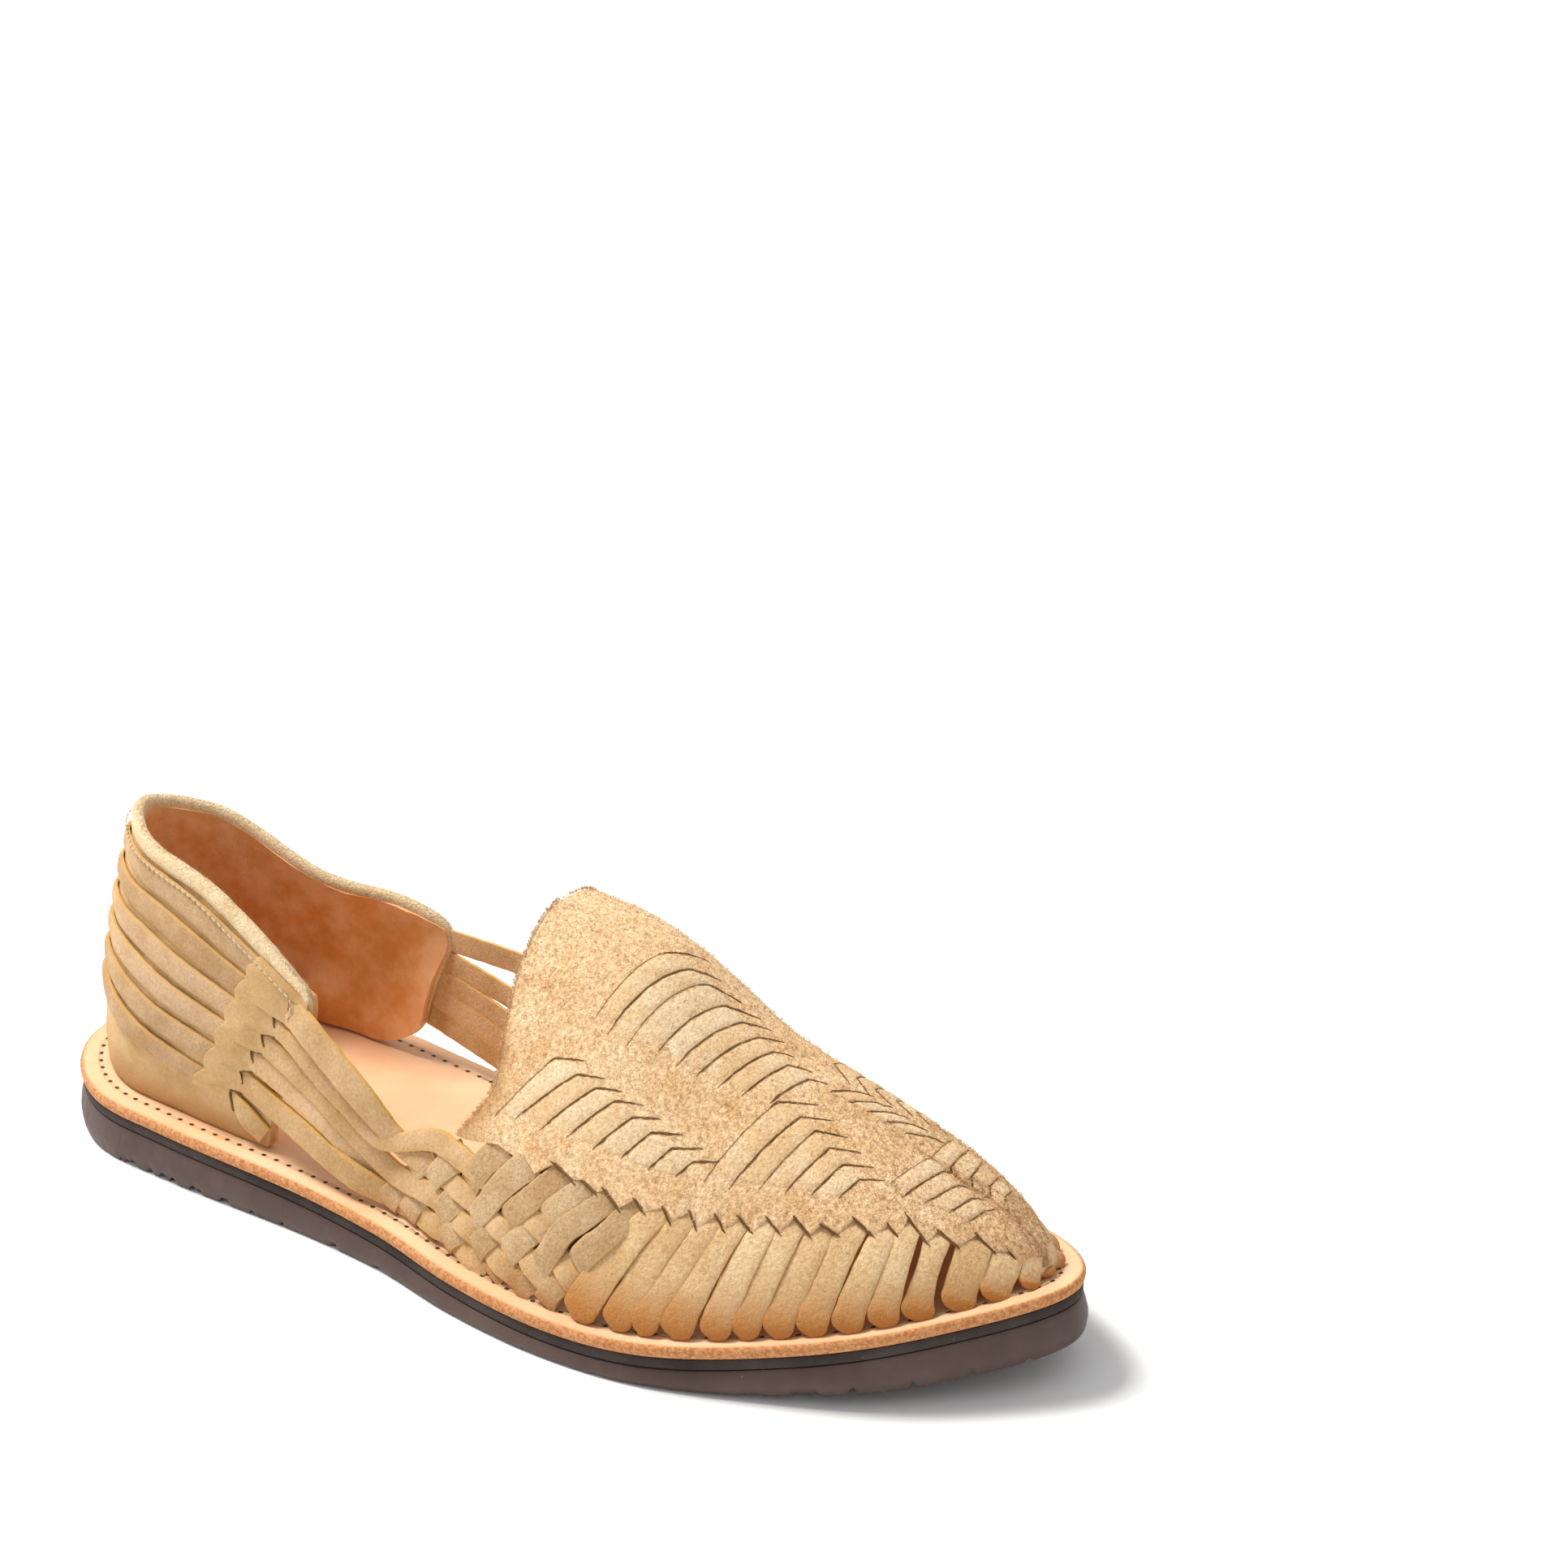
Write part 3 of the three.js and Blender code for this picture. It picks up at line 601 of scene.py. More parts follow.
def wall_maps(along: Array, tone: float, foot_tone_and_shade: Array) -> dict[str, Array]:
    """Surface map and finish map of a wall whose shares along it span about 0.2 m."""
    return {"surface": np.stack(np.broadcast_arrays(along * 0.2, 0.0), -1),
            "finish": np.stack(np.broadcast_arrays(tone, foot_tone_and_shade), -1)}


def mirrored(side: Side, turn: Array) -> Array:
    """Turn on the outer wing, or its mirror image on the inner wing."""
    return turn if side is Side.OUTER else 1 - turn


def spacing(lines: list[Array]) -> list[Array]:
    """Mean distance from each point of each line to its neighbours in the list.

    Args:
        lines: Rows whose first three columns are places.

    Returns:
        One row of distances for each line.
    """
    dense = [along_path(line, 60)[0][:, :3] for line in lines]
    result = []
    for k, line in enumerate(lines):
        gaps = [np.linalg.norm(line[:, None, :3] - dense[j][None], axis=-1).min(axis=1)
                for j in (k - 1, k + 1) if 0 <= j < len(lines)]
        result.append(np.mean(gaps, axis=0))
    return result


def tint(code: str) -> tuple[float, float, float, float]:
    """Linear colour of an sRGB hex code.

    Args:
        code: Six hex digits.

    Returns:
        Red, green, blue and alpha.
    """
    share = np.array([int(code[i:i + 2], 16) for i in (0, 2, 4)]) / 255
    linear = np.where(share <= 0.04045, share / 12.92, ((share + 0.055) / 1.055) ** 2.4)
    return (*map(float, linear), 1.0)


class Nodes:
    """The node tree of one material, with its principled shader."""

    def __init__(self, name: str) -> None:
        """Starts an empty tree that ends in a principled shader.

        Args:
            name: Name of the material.
        """
        self.material = bpy.data.materials.new(name)
        self.material.use_nodes = True
        self.tree = self.material.node_tree
        self.tree.nodes.clear()
        self.shader = self.add("ShaderNodeBsdfPrincipled")
        output = self.add("ShaderNodeOutputMaterial")
        self.tree.links.new(self.shader.outputs[0], output.inputs["Surface"])

    def add(self, kind: str, settings: dict | None = None, **inputs: object) -> bpy.types.Node:
        """Adds a node; an input is a value or another node's output, its name with _ for a space.

        Args:
            kind: Type of the node.
            settings: Properties of the node.
            inputs: Values or outputs by socket; n and a number picks a socket by its place.

        Returns:
            The node.
        """
        node = self.tree.nodes.new(kind)
        for key, value in (settings or {}).items():
            setattr(node, key, value)
        for key, value in inputs.items():
            numbered = key[0] == "n" and key[1:].isdigit()
            socket = node.inputs[int(key[1:]) if numbered else key.replace("_", " ")]
            if isinstance(value, bpy.types.NodeSocket):
                self.tree.links.new(value, socket)
            else:
                socket.default_value = value
        return node

    def math(self, operation: str, first: object, second: object = 0.0) -> bpy.types.NodeSocket:
        """Result of a Math node."""
        return self.add("ShaderNodeMath", {"operation": operation}, n0=first, n1=second).outputs[0]

    def plus(self, first: object, second: object) -> bpy.types.NodeSocket:
        """Sum of two values."""
        return self.math("ADD", first, second)

    def less(self, first: object, second: object) -> bpy.types.NodeSocket:
        """First value less the second."""
        return self.math("SUBTRACT", first, second)

    def times(self, first: object, second: object) -> bpy.types.NodeSocket:
        """Product of two values."""
        return self.math("MULTIPLY", first, second)

    def mix(self, share: object, first: object, second: object, blend: str = "MIX") -> bpy.types.NodeSocket:
        """Colour between two colours."""
        node = self.add("ShaderNodeMix", {"data_type": "RGBA", "blend_type": blend}, n0=share, n6=first, n7=second)
        return node.outputs[2]

    def band(self, value: object, low: float, high: float) -> bpy.types.NodeSocket:
        """Share of the way of a value from one bound to the other, kept between 0 and 1."""
        return self.add("ShaderNodeMapRange", {"interpolation_type": "SMOOTHSTEP"}, Value=value,
                        From_Min=low, From_Max=high).outputs[0]

    def place(self) -> bpy.types.NodeSocket:
        """Object coordinates."""
        return self.add("ShaderNodeTexCoord").outputs["Object"]

    def noise(self, size: float, detail: float = 2.0, roughness: float = 0.5) -> bpy.types.NodeSocket:
        """Noise whose cells have the size in metres."""
        return self.add("ShaderNodeTexNoise", None, Vector=self.place(), Scale=1 / size, Detail=detail,
                        Roughness=roughness).outputs["Fac"]

    def cells(self, size: float) -> bpy.types.NodeSocket:
        """Distance to the nearest point of a Voronoi pattern, in cells of the size in metres."""
        return self.add("ShaderNodeTexVoronoi", None, Vector=self.place(), Scale=1 / size).outputs["Distance"]

    def uv(self, name: str) -> tuple[bpy.types.NodeSocket, bpy.types.NodeSocket]:
        """The two values of a surface map.

        Args:
            name: Name of the map.

        Returns:
            Its two values.
        """
        place = self.add("ShaderNodeUVMap", {"uv_map": name}).outputs[0]
        parts = self.add("ShaderNodeSeparateXYZ", None, Vector=place)
        return parts.outputs[0], parts.outputs[1]

    def finish(self, colour: object, roughness: object, height: object = None, depth: float = 0.0,
               strength: float = 1.0, **sockets: object) -> bpy.types.Material:
        """Feeds the shader.

        Args:
            colour: Colour, or the node output that gives it.
            roughness: Roughness, or the node output that gives it.
            height: Node output with the height of the bump.
            depth: Depth of the bump, in metres.
            strength: Strength of the bump.
            sockets: Other sockets by name, with _ for a space.

        Returns:
            The finished material.
        """
        for key, value in {"Base_Color": colour, "Roughness": roughness, **sockets}.items():
            socket = self.shader.inputs[key.replace("_", " ")]
            if isinstance(value, bpy.types.NodeSocket):
                self.tree.links.new(value, socket)
            else:
                socket.default_value = value
        if height is not None:
            bump = self.add("ShaderNodeBump", None, Height=height, Distance=depth, Strength=strength)
            self.tree.links.new(bump.outputs[0], self.shader.inputs["Normal"])
        return self.material


@dataclass(frozen=True)
class Suede:
    """Napped split leather: crumb and nap with painted light and shade, mottling, pressed edges, and a darker
    orange-brown tint for the foot of a strip and for painted shade.
    """

    name: str
    pale: str
    deep: str
    edge: str
    foot_and_shade_tint: str = "B9803F"
    crumb: float = 0.0011
    nap: float = 0.00035
    depth: float = 0.00045
    edge_share: float = 0.5
    contrast: float = 0.5

    def material(self) -> bpy.types.Material:
        """Colour from three sizes of noise with painted light and shade on the crumb and nap, the edge colour across a
        strip, and the darker tint at its foot and where shade is painted.

        Returns:
            The material.
        """
        n = Nodes(self.name)
        _, across = n.uv("surface")
        tone, foot_tone_and_shade = n.uv("finish")
        crumb = n.noise(self.crumb, 3.0, 0.6)
        nap = n.noise(self.nap, 2.0, 0.7)
        mottle = n.noise(0.009, 3.0, 0.6)
        share = n.plus(n.times(mottle, 0.9), n.times(tone, 0.35))
        base = n.mix(n.band(share, 0.35, 0.95), tint(self.pale), tint(self.deep))
        grain = n.plus(n.times(crumb, 0.6), n.times(nap, 0.4))
        # Painted light and shade: the crumb and nap lighten the colour on their high places and darken it, warmer, in
        # their hollows.
        light = n.plus(n.times(n.less(grain, 0.5), 2 * self.contrast), 1.0)
        shade = n.add("ShaderNodeCombineXYZ", None, X=light, Y=n.math("POWER", light, 1.2),
                      Z=n.math("POWER", light, 1.45)).outputs[0]
        base = n.mix(1.0, base, shade, "MULTIPLY")
        rim = n.band(n.math("ABSOLUTE", across), 0.78, 1.0)
        base = n.mix(n.times(rim, self.edge_share), base, tint(self.edge))
        # Darker orange-brown tint from the finish map: the foot of a strip, and painted shade low on the cover and on
        # the heel wall.
        foot = n.times(foot_tone_and_shade, n.plus(n.times(crumb, 0.8), 0.5))
        base = n.mix(n.band(foot, 0.0, 1.0), base, tint(self.foot_and_shade_tint))
        return n.finish(base, 0.95, grain, self.depth, 0.9, Specular_IOR_Level=0.18, Sheen_Weight=0.25,
                        Sheen_Roughness=0.5, Sheen_Tint=tint("F2DDB4"))


@dataclass(frozen=True)
class Lining:
    """Smooth orange-brown lining leather, mottled by slow noise."""

    name: str = "lining leather"

    def material(self) -> bpy.types.Material:
        """Two brown tones by slow noise, fine pores and soft creases.

        Returns:
            The material.
        """
        n = Nodes(self.name)
        slow, pores = n.noise(0.014, 4.0, 0.6), n.noise(0.0005, 2.0)
        creases = n.noise(0.006, 3.0, 0.5)
        base = n.mix(n.band(slow, 0.38, 0.66), tint("E8B382"), tint("D8944F"))
        base = n.mix(n.times(n.band(pores, 0.55, 0.8), 0.25), base, tint("B47840"))
        height = n.plus(creases, n.times(pores, 0.12))
        return n.finish(base, 0.62, height, 0.0006, 0.6, Specular_IOR_Level=0.35)


@dataclass(frozen=True)
class InsoleLeather:
    """Vegetable-tanned insole leather with pricked stitch holes and a raw edge."""

    name: str = "insole leather"
    hole_line: float = 5.3
    hole_pitch: float = 4.2
    hole_radius: float = 0.62

    def material(self) -> bpy.types.Material:
        """Holes repeat along the edge map; the raw edge is darker and rough.

        Returns:
            The material.
        """
        n = Nodes(self.name)
        length, inset = n.uv("surface")
        raw, _ = n.uv("finish")
        slow, pores, fibre = n.noise(0.02, 3.0), n.noise(0.0004, 2.0), n.noise(0.0009, 4.0, 0.7)
        cell = n.times(n.less(n.math("FRACT", n.math("DIVIDE", length, self.hole_pitch)), 0.5),
                      self.hole_pitch)
        off = n.less(inset, self.hole_line)
        reach = n.math("SQRT", n.plus(n.times(n.times(cell, cell), 0.5),
                                      n.times(off, off)))
        hole = n.less(1.0, n.band(reach, self.hole_radius * 0.55, self.hole_radius))
        groove = n.less(1.0, n.band(n.math("ABSOLUTE", off), 0.3, 1.0))
        base = n.mix(n.band(slow, 0.3, 0.7), tint("F3C89E"), tint("EBB98C"))
        base = n.mix(n.times(n.band(pores, 0.5, 0.8), 0.15), base, tint("C78A5C"))
        base = n.mix(n.times(groove, 0.25), base, tint("C48958"))
        edge = n.mix(n.band(fibre, 0.35, 0.65), tint("B8733F"), tint("DBA06C"))
        base = n.mix(raw, base, edge)
        # Painted shade: the stitch holes are painted near black, as well as dipped in the bump.
        base = n.mix(hole, base, tint("3A2216"))
        smooth_height = n.less(n.times(pores, 0.06),
                               n.plus(n.times(hole, 1.2), n.times(groove, 0.35)))
        height = n.plus(smooth_height, n.times(n.times(raw, fibre), 0.9))
        rough = n.plus(0.5, n.times(raw, 0.4))
        return n.finish(base, rough, height, 0.0005, 0.8, Specular_IOR_Level=0.4)


@dataclass(frozen=True)
class Rubber:
    """Moulded rubber or foam with a fine skin, slow stains and light dust specks."""

    name: str
    base: str
    worn: str
    grain: float
    depth: float
    roughness: float
    dust: float = 0.5

    def material(self) -> bpy.types.Material:
        """Dust sits in the small cells of a Voronoi pattern that slow noise lets through.

        Returns:
            The material.
        """
        n = Nodes(self.name)
        slow, fine = n.noise(0.018, 4.0, 0.6), n.noise(self.grain, 3.0, 0.6)
        base = n.mix(n.band(slow, 0.3, 0.75), tint(self.base), tint(self.worn))
        base = n.mix(n.times(n.band(fine, 0.45, 0.8), 0.3), base, tint(self.worn))
        speck = n.times(n.less(1.0, n.band(n.cells(0.0035), 0.03, 0.07)),
                       n.band(n.noise(0.006, 1.0), 0.52, 0.6))
        base = n.mix(n.times(speck, self.dust), base, tint("B9AFA8"))
        rough = n.plus(self.roughness, n.times(n.less(fine, 0.5), 0.25))
        return n.finish(base, rough, fine, self.depth, 0.7, Specular_IOR_Level=0.4)


@dataclass(frozen=True)
class Thread:
    """Waxed linen thread with a twist."""

    name: str
    colour: str

    def material(self) -> bpy.types.Material:
        """Fine noise stands for the twisted plies.

        Returns:
            The material.
        """
        n = Nodes(self.name)
        ply = n.noise(0.00025, 2.0)
        return n.finish(n.mix(ply, tint(self.colour), tint("8F7A55")), 0.8, ply, 0.0002, 0.7)


ROUGH_SUEDE = Suede("rough vamp suede", "F0CCA0", "DDAA70", "E2C088", crumb=0.0012, nap=0.0005, depth=0.0014,
                    edge_share=0.0, contrast=1.1, foot_and_shade_tint="BC8644")
THREADED_SUEDE = Suede("threaded strip suede", "ECCFA8", "DDB685", "EECB90", crumb=0.0009, nap=0.0004, depth=0.0008,
                       edge_share=0.4, contrast=0.75)
STRIP_SUEDE = Suede("rough strip suede", "E8C89C", "D3AB78", "E3B878", crumb=0.0009, nap=0.0004, depth=0.0008,
                    edge_share=0.5, contrast=0.75, foot_and_shade_tint="B5763A")
SMOOTH_SUEDE = Suede("strap suede", "D6B289", "BC9462", "D9A855", crumb=0.0008, nap=0.00035, depth=0.0005,
                     edge_share=0.7, contrast=0.5)
FINE_SUEDE = Suede("fine quarter suede", "D6B283", "BE965F", "D9B777", crumb=0.0007, nap=0.00028, depth=0.0004,
                   edge_share=0.4, contrast=0.42, foot_and_shade_tint="A8763F")
COLLAR_SUEDE = Suede("collar binding suede", "EBD2AA", "D8B687", "EBD8B0", crumb=0.0008, nap=0.0004,
                     depth=0.0008, contrast=0.6)
# Painted shade: darker, greyer copy of the strip suede for the side weave, which gets less light than the top.
SHADED_WEAVE_SUEDE = Suede("side weave suede", "CFB089", "B69165", "D8AE74", crumb=0.0009, nap=0.0004, depth=0.0008,
                    edge_share=0.5, contrast=0.7, foot_and_shade_tint="A86C34")
# Painted shade: darker copy of the strap suede for the heel straps, which stand in softer light.
SHADED_HEEL_SUEDE = Suede("heel strap suede", "CDAA85", "B08A60", "D0A25A", crumb=0.0008, nap=0.00035, depth=0.0005,
                   edge_share=0.7, contrast=0.5)
SLIT_SUEDE = Suede("cut suede in shade", "7A5428", "4E3318", "7A5830", crumb=0.0006, nap=0.0002, depth=0.0002)
OUTSOLE_RUBBER = Rubber("brown sole rubber", "4E3B34", "5E4A42", 0.0004, 0.00006, 0.55)
MIDSOLE_FOAM = Rubber("dark midsole foam", "2F2623", "4B403B", 0.0006, 0.00045, 0.85, 0.35)
SEAM_THREAD = Thread("tan seam thread", "D8BC93")
COLLAR_THREAD = Thread("cream collar thread", "EADCBB")


@dataclass(frozen=True)
class SoleUnit:
    """Insole, midsole and outsole, as closed sections along the shoe.

    flare is how far the outsole stands out, setback how far the midsole stands in, and gap the air
    between two layers. The tread has zigzag grooves, tread_pitch long and row_pitch apart, outside
    a smooth middle band; hole_line and hole_pitch place the stitches of the insole.
    """

    plan: SolePlan = SolePlan()
    flare: float = 0.0008
    setback: float = 0.0006
    midsole: float = 0.0026
    gap: float = 0.0003
    tread_depth: float = 0.0014
    tread_pitch: float = 0.0098
    row_pitch: float = 0.0086
    tread_wave: float = 0.0019
    groove_half: float = 0.0005
    groove_slope: float = 0.0007
    smooth_band: float = 0.012
    thread_length: float = 0.0029
    thread_start: float = 0.098
    hole_line: float = 0.0053
    hole_pitch: float = 0.0042

    def stations(self, count: int) -> Array:
        """Turns that are even both in turn and in distance, so that the round ends stay fine."""
        even = self.plan.turn_at(np.linspace(0, self.plan.length, count))
        return np.unique(np.round(np.concatenate([even, np.linspace(0, 1, count // 2)]), 6))

    def edge_line(self, side: Side, turn: Array, inset: Array | float) -> Array:
        """Outline points (distance, offset) of one side."""
        return np.stack(self.plan.outline(float(side.value), turn, inset), -1)

    def plate(self, turn: Array, insets: Array, middle: int) -> tuple[Array, Array, Array]:
        """Rows of points across the sole from the outer to the inner edge.

        The rows follow the outline at each inset, and cross the middle in straight steps.

        Args:
            turn: Stations along the sole.
            insets: Distances of the rows from the edge.
            middle: How many points cross the middle.

        Returns:
            Places (station, across, 2), insets and signed sides at each of them.
        """
        outer = np.stack([self.edge_line(Side.OUTER, turn, d) for d in insets], 1)
        inner = np.stack([self.edge_line(Side.INNER, turn, d) for d in insets[::-1]], 1)
        share = np.linspace(0, 1, middle + 2)[1:-1][None, :, None]
        between = outer[:, -1:] * (1 - share) + inner[:, :1] * share
        places = np.concatenate([outer, between, inner], 1)
        half = np.abs(between - outer[:, -1:]).max(-1)
        deep = insets[-1] + np.minimum(half, half[:, ::-1])
        rows = (len(turn), len(insets))
        depth = np.concatenate([np.broadcast_to(insets, rows), deep, np.broadcast_to(insets[::-1], rows)], 1)
        sides = np.sign(np.arange(places.shape[1]) - places.shape[1] / 2 + 0.5)
        return places, depth, np.broadcast_to(sides, depth.shape)

    def arc(self, side: Side, turn: Array) -> Array:
        """Length along one side's edge from the heel's end, at each turn.

        Args:
            side: Side of the shoe.
            turn: Stations along the sole.

        Returns:
            The length at each station.
        """
        fine = np.linspace(0, 1, 2000)
        line = self.edge_line(side, fine, self.hole_line)
        length = np.concatenate([[0], np.cumsum(np.linalg.norm(np.diff(line, axis=0), axis=1))])
        return np.interp(turn, fine, length)

    def layer(self, name: str, turn: Array, faces: tuple[Array, Callable, Array, Callable],
              profile: list[tuple[float, float]], middle: tuple[int, int], raw: bool = False) -> Shell:
        """Closes a layer of the sole from its underside, its sides and its top.

        Args:
            name: Name of the piece.
            turn: Stations along the sole.
            faces: Insets and height function of the underside, then of the top.
            profile: Inset and share of the height, from the underside's edge to the top's edge.
            middle: Points across the middle of the underside and of the top.
            raw: Marks the sides in the finish map as a raw cut edge.

        Returns:
            The layer, with the length along its edge and the inset as its surface map.
        """
        low_insets, low, high_insets, high = faces
        parts, inset_map, edge_map, side_map = [], [], [], []
        under, depth, sides = self.plate(turn, low_insets, middle[0])
        top, top_depth, top_sides = self.plate(turn, high_insets, middle[1])

        def store(places: Array, z: Array, deep: Array, mark: Array, side: Array) -> None:
            """Keeps rows of points with their inset, raw mark and side.

            Args:
                places: Distances and offsets.
                z: Heights.
                deep: Insets.
                mark: 1 where the leather is cut raw.
                side: Signs of the side.
            """
            parts.append(self.plan.place(places[..., 0], places[..., 1], z))
            inset_map.append(np.broadcast_to(deep, z.shape))
            edge_map.append(np.broadcast_to(mark, z.shape))
            side_map.append(np.broadcast_to(side, z.shape))

        def wall(side: Side, levels: list[tuple[float, float]]) -> None:
            """Keeps the rows of one side of the layer.

            Args:
                side: Side of the shoe.
                levels: Inset and share of the height of each row.
            """
            for inset, share in levels:
                place = self.edge_line(side, turn, inset)[:, None]
                bottom, roof = low(place[..., 0], place[..., 1]), high(place[..., 0], place[..., 1])
                store(place, bottom + (roof - bottom) * share, np.array(0.0), np.array(1.0 if raw else 0.0),
                      np.array(float(side.value)))

        store(under, low(under[..., 0], under[..., 1]), depth, np.array(0.0), sides)
        wall(Side.INNER, profile)
        store(top[:, ::-1], high(top[:, ::-1, 0], top[:, ::-1, 1]), top_depth[:, ::-1],
              np.clip(1 - top_depth[:, ::-1] / 0.0012, 0, 1) if raw else np.array(0.0), top_sides[:, ::-1])
        wall(Side.OUTER, profile[::-1])
        rings, deep = np.concatenate(parts, 1), np.concatenate(inset_map, 1)
        side = np.concatenate(side_map, 1)
        length = np.where(side < 0, self.arc(Side.OUTER, turn)[:, None], -self.arc(Side.INNER, turn)[:, None])
        finish = np.stack([np.concatenate(edge_map, 1), 0 * deep], -1).reshape(-1, 2)
        shell = Shell(name)
        shell.tube(rings, np.stack([length, deep], -1), finish)
        return shell

    def tread(self, x: Array, y: Array) -> Array:
        """Depth of the tread's grooves: rows of zigzag grooves, linked by short slanting ones.

        Each groove follows a triangle wave along the shoe, at even rows from the smooth band out.

        Args:
            x: Distance from the heel's end.
            y: Offset to the inner side.

        Returns:
            The depth at each point.
        """
        axis = self.plan.tip_offset * (x / self.plan.length) ** 2
        away = np.abs(y - axis) - self.smooth_band
        swing = x / self.tread_pitch
        wave = (2 * np.abs(2 * (swing - np.floor(swing + 0.5))) - 1) * self.tread_wave
        row = (away - wave) / self.row_pitch
        near = np.abs(row - np.round(row)) * self.row_pitch
        groove = 1 - eased((near - self.groove_half) / self.groove_slope)
        groove = np.where(row > -0.4, groove, 0.0)
        groove = np.where(np.round(row) == 0, groove * 0.55, groove)
        odd = np.mod(np.round(np.floor(row)), 2)
        slant = swing + 0.5 * odd + 0.75 * (row - np.floor(row)) - 0.2
        link = np.abs(slant - np.round(slant)) * self.tread_pitch
        cut = (1 - eased((link - self.groove_half) / 0.0006)) * (row > 0.02) * (np.mod(np.round(slant), 2) == 0)
        half = np.where(y > axis, 0.05, 0.055)
        fade = 1 - 0.85 * eased((away + self.smooth_band - half * 0.76) / 0.006)
        return self.tread_depth * np.maximum(groove, cut) * fade

    def level(self, drop: float) -> Callable[[Array, Array], Array]:
        """Height function of a face that lies a drop below the insole's underside.

        Args:
            drop: How far the face lies below it.

        Returns:
            The height function.
        """

        def height(x: Array, y: Array) -> Array:
            """Height at a distance from the heel, the same all the way across."""
            return self.plan.seat(x) - drop

        return height

    def worn_ground(self, x: Array, y: Array) -> Array:
        """Height of the outsole's underside with the tread cut up into it."""
        return self.plan.ground(x) + self.tread(x, y)

    def pressed_top(self, x: Array, y: Array) -> Array:
        """Height of the insole's top, with the leather's slow waves."""
        return self.plan.footbed(x) + 0.00006 * wobble(np.stack([x, y, 0 * x], -1), 0.003, 11)

    def outsole(self) -> Shell:
        """Outsole with its tread cut up into the underside.

        Returns:
            The layer as a closed skin.
        """
        turn = self.stations(360)
        insets = np.concatenate([[0.0, 0.0005], np.arange(0.0012, 0.0151, 0.0008)])
        top = np.array([self.setback, 0.003, 0.008])
        profile = [(-0.0003, 0.05), (-0.0005, 0.12), (-self.flare, 0.3), (-self.flare, 0.45), (-0.0003, 0.7),
                   (0.0001, 0.86), (0.0004, 0.97)]
        faces = (insets, self.worn_ground, top, self.level(2 * self.gap + self.midsole))
        return self.layer("outsole_tread", turn, faces, profile, (62, 3))

    def midsole_sheet(self) -> Shell:
        """Dark midsole between the outsole and the insole.

        Returns:
            The layer as a closed skin.
        """
        turn = self.stations(170)
        insets = np.array([self.setback, 0.002, 0.006, 0.012])
        low, high = self.level(self.gap + self.midsole), self.level(self.gap)
        profile = [(self.setback - 0.0002, 0.08), (self.setback - 0.0003, 0.5), (self.setback - 0.0002, 0.92)]
        return self.layer("midsole_sheet", turn, (insets, low, insets, high), profile, (3, 3))

    def insole_plate(self) -> Shell:
        """Leather insole with rounded raw edges.

        Returns:
            The layer as a closed skin.
        """
        turn = self.stations(240)
        low_insets = np.array([self.setback / 2, 0.004, 0.012])
        insets = np.array([0.0009, 0.0014, 0.002, 0.003, 0.004, 0.0048, 0.0053, 0.0058, 0.0068, 0.009, 0.012, 0.016])
        profile = [(0.0001, 0.06), (-0.0001, 0.3), (-0.0002, 0.6), (0.0, 0.82), (0.0004, 0.95)]
        faces = (low_insets, self.level(0.0), insets, self.pressed_top)
        return self.layer("insole_leather", turn, faces, profile, (3, 7), raw=True)

    def threads(self) -> Shell:
        """Short stitches between the holes of the insole, as low half-round dashes.

        Returns:
            The stitches as one mesh.
        """
        shell = Shell("insole_threads")
        for side in Side:
            fine = np.linspace(0, 1, 3000)
            length = self.arc(side, fine)
            starts = np.arange(0.5, length[-1] / self.hole_pitch - 0.5) * self.hole_pitch
            for centre in starts + self.hole_pitch / 2:
                along = centre + np.linspace(-0.5, 0.5, 5) * self.thread_length
                turn = np.interp(along, length, fine)
                place = self.edge_line(side, turn, self.hole_line)
                if place[:, 0].mean() < self.thread_start:
                    continue
                high = self.plan.footbed(place[:, 0]) - 0.0001 + 0.00022 * np.sin(np.linspace(0, np.pi, 5))
                path = self.plan.place(place[:, 0], place[:, 1], high)
                add_cord(shell, path, 0.00028, 6)
        return shell

    def dress(self) -> None:
        """Builds the three layers and the thread."""
        self.outsole().build(OUTSOLE_RUBBER.material(), "tread_rubber", "outsole", 40, weld=True)
        self.midsole_sheet().build(MIDSOLE_FOAM.material(), "midsole_rubber", "midsole", weld=True)
        self.insole_plate().build(InsoleLeather().material(), "insole_leather", "insole", weld=True)
        self.threads().build(SEAM_THREAD.material(), "insole_leather", "insole", 70)


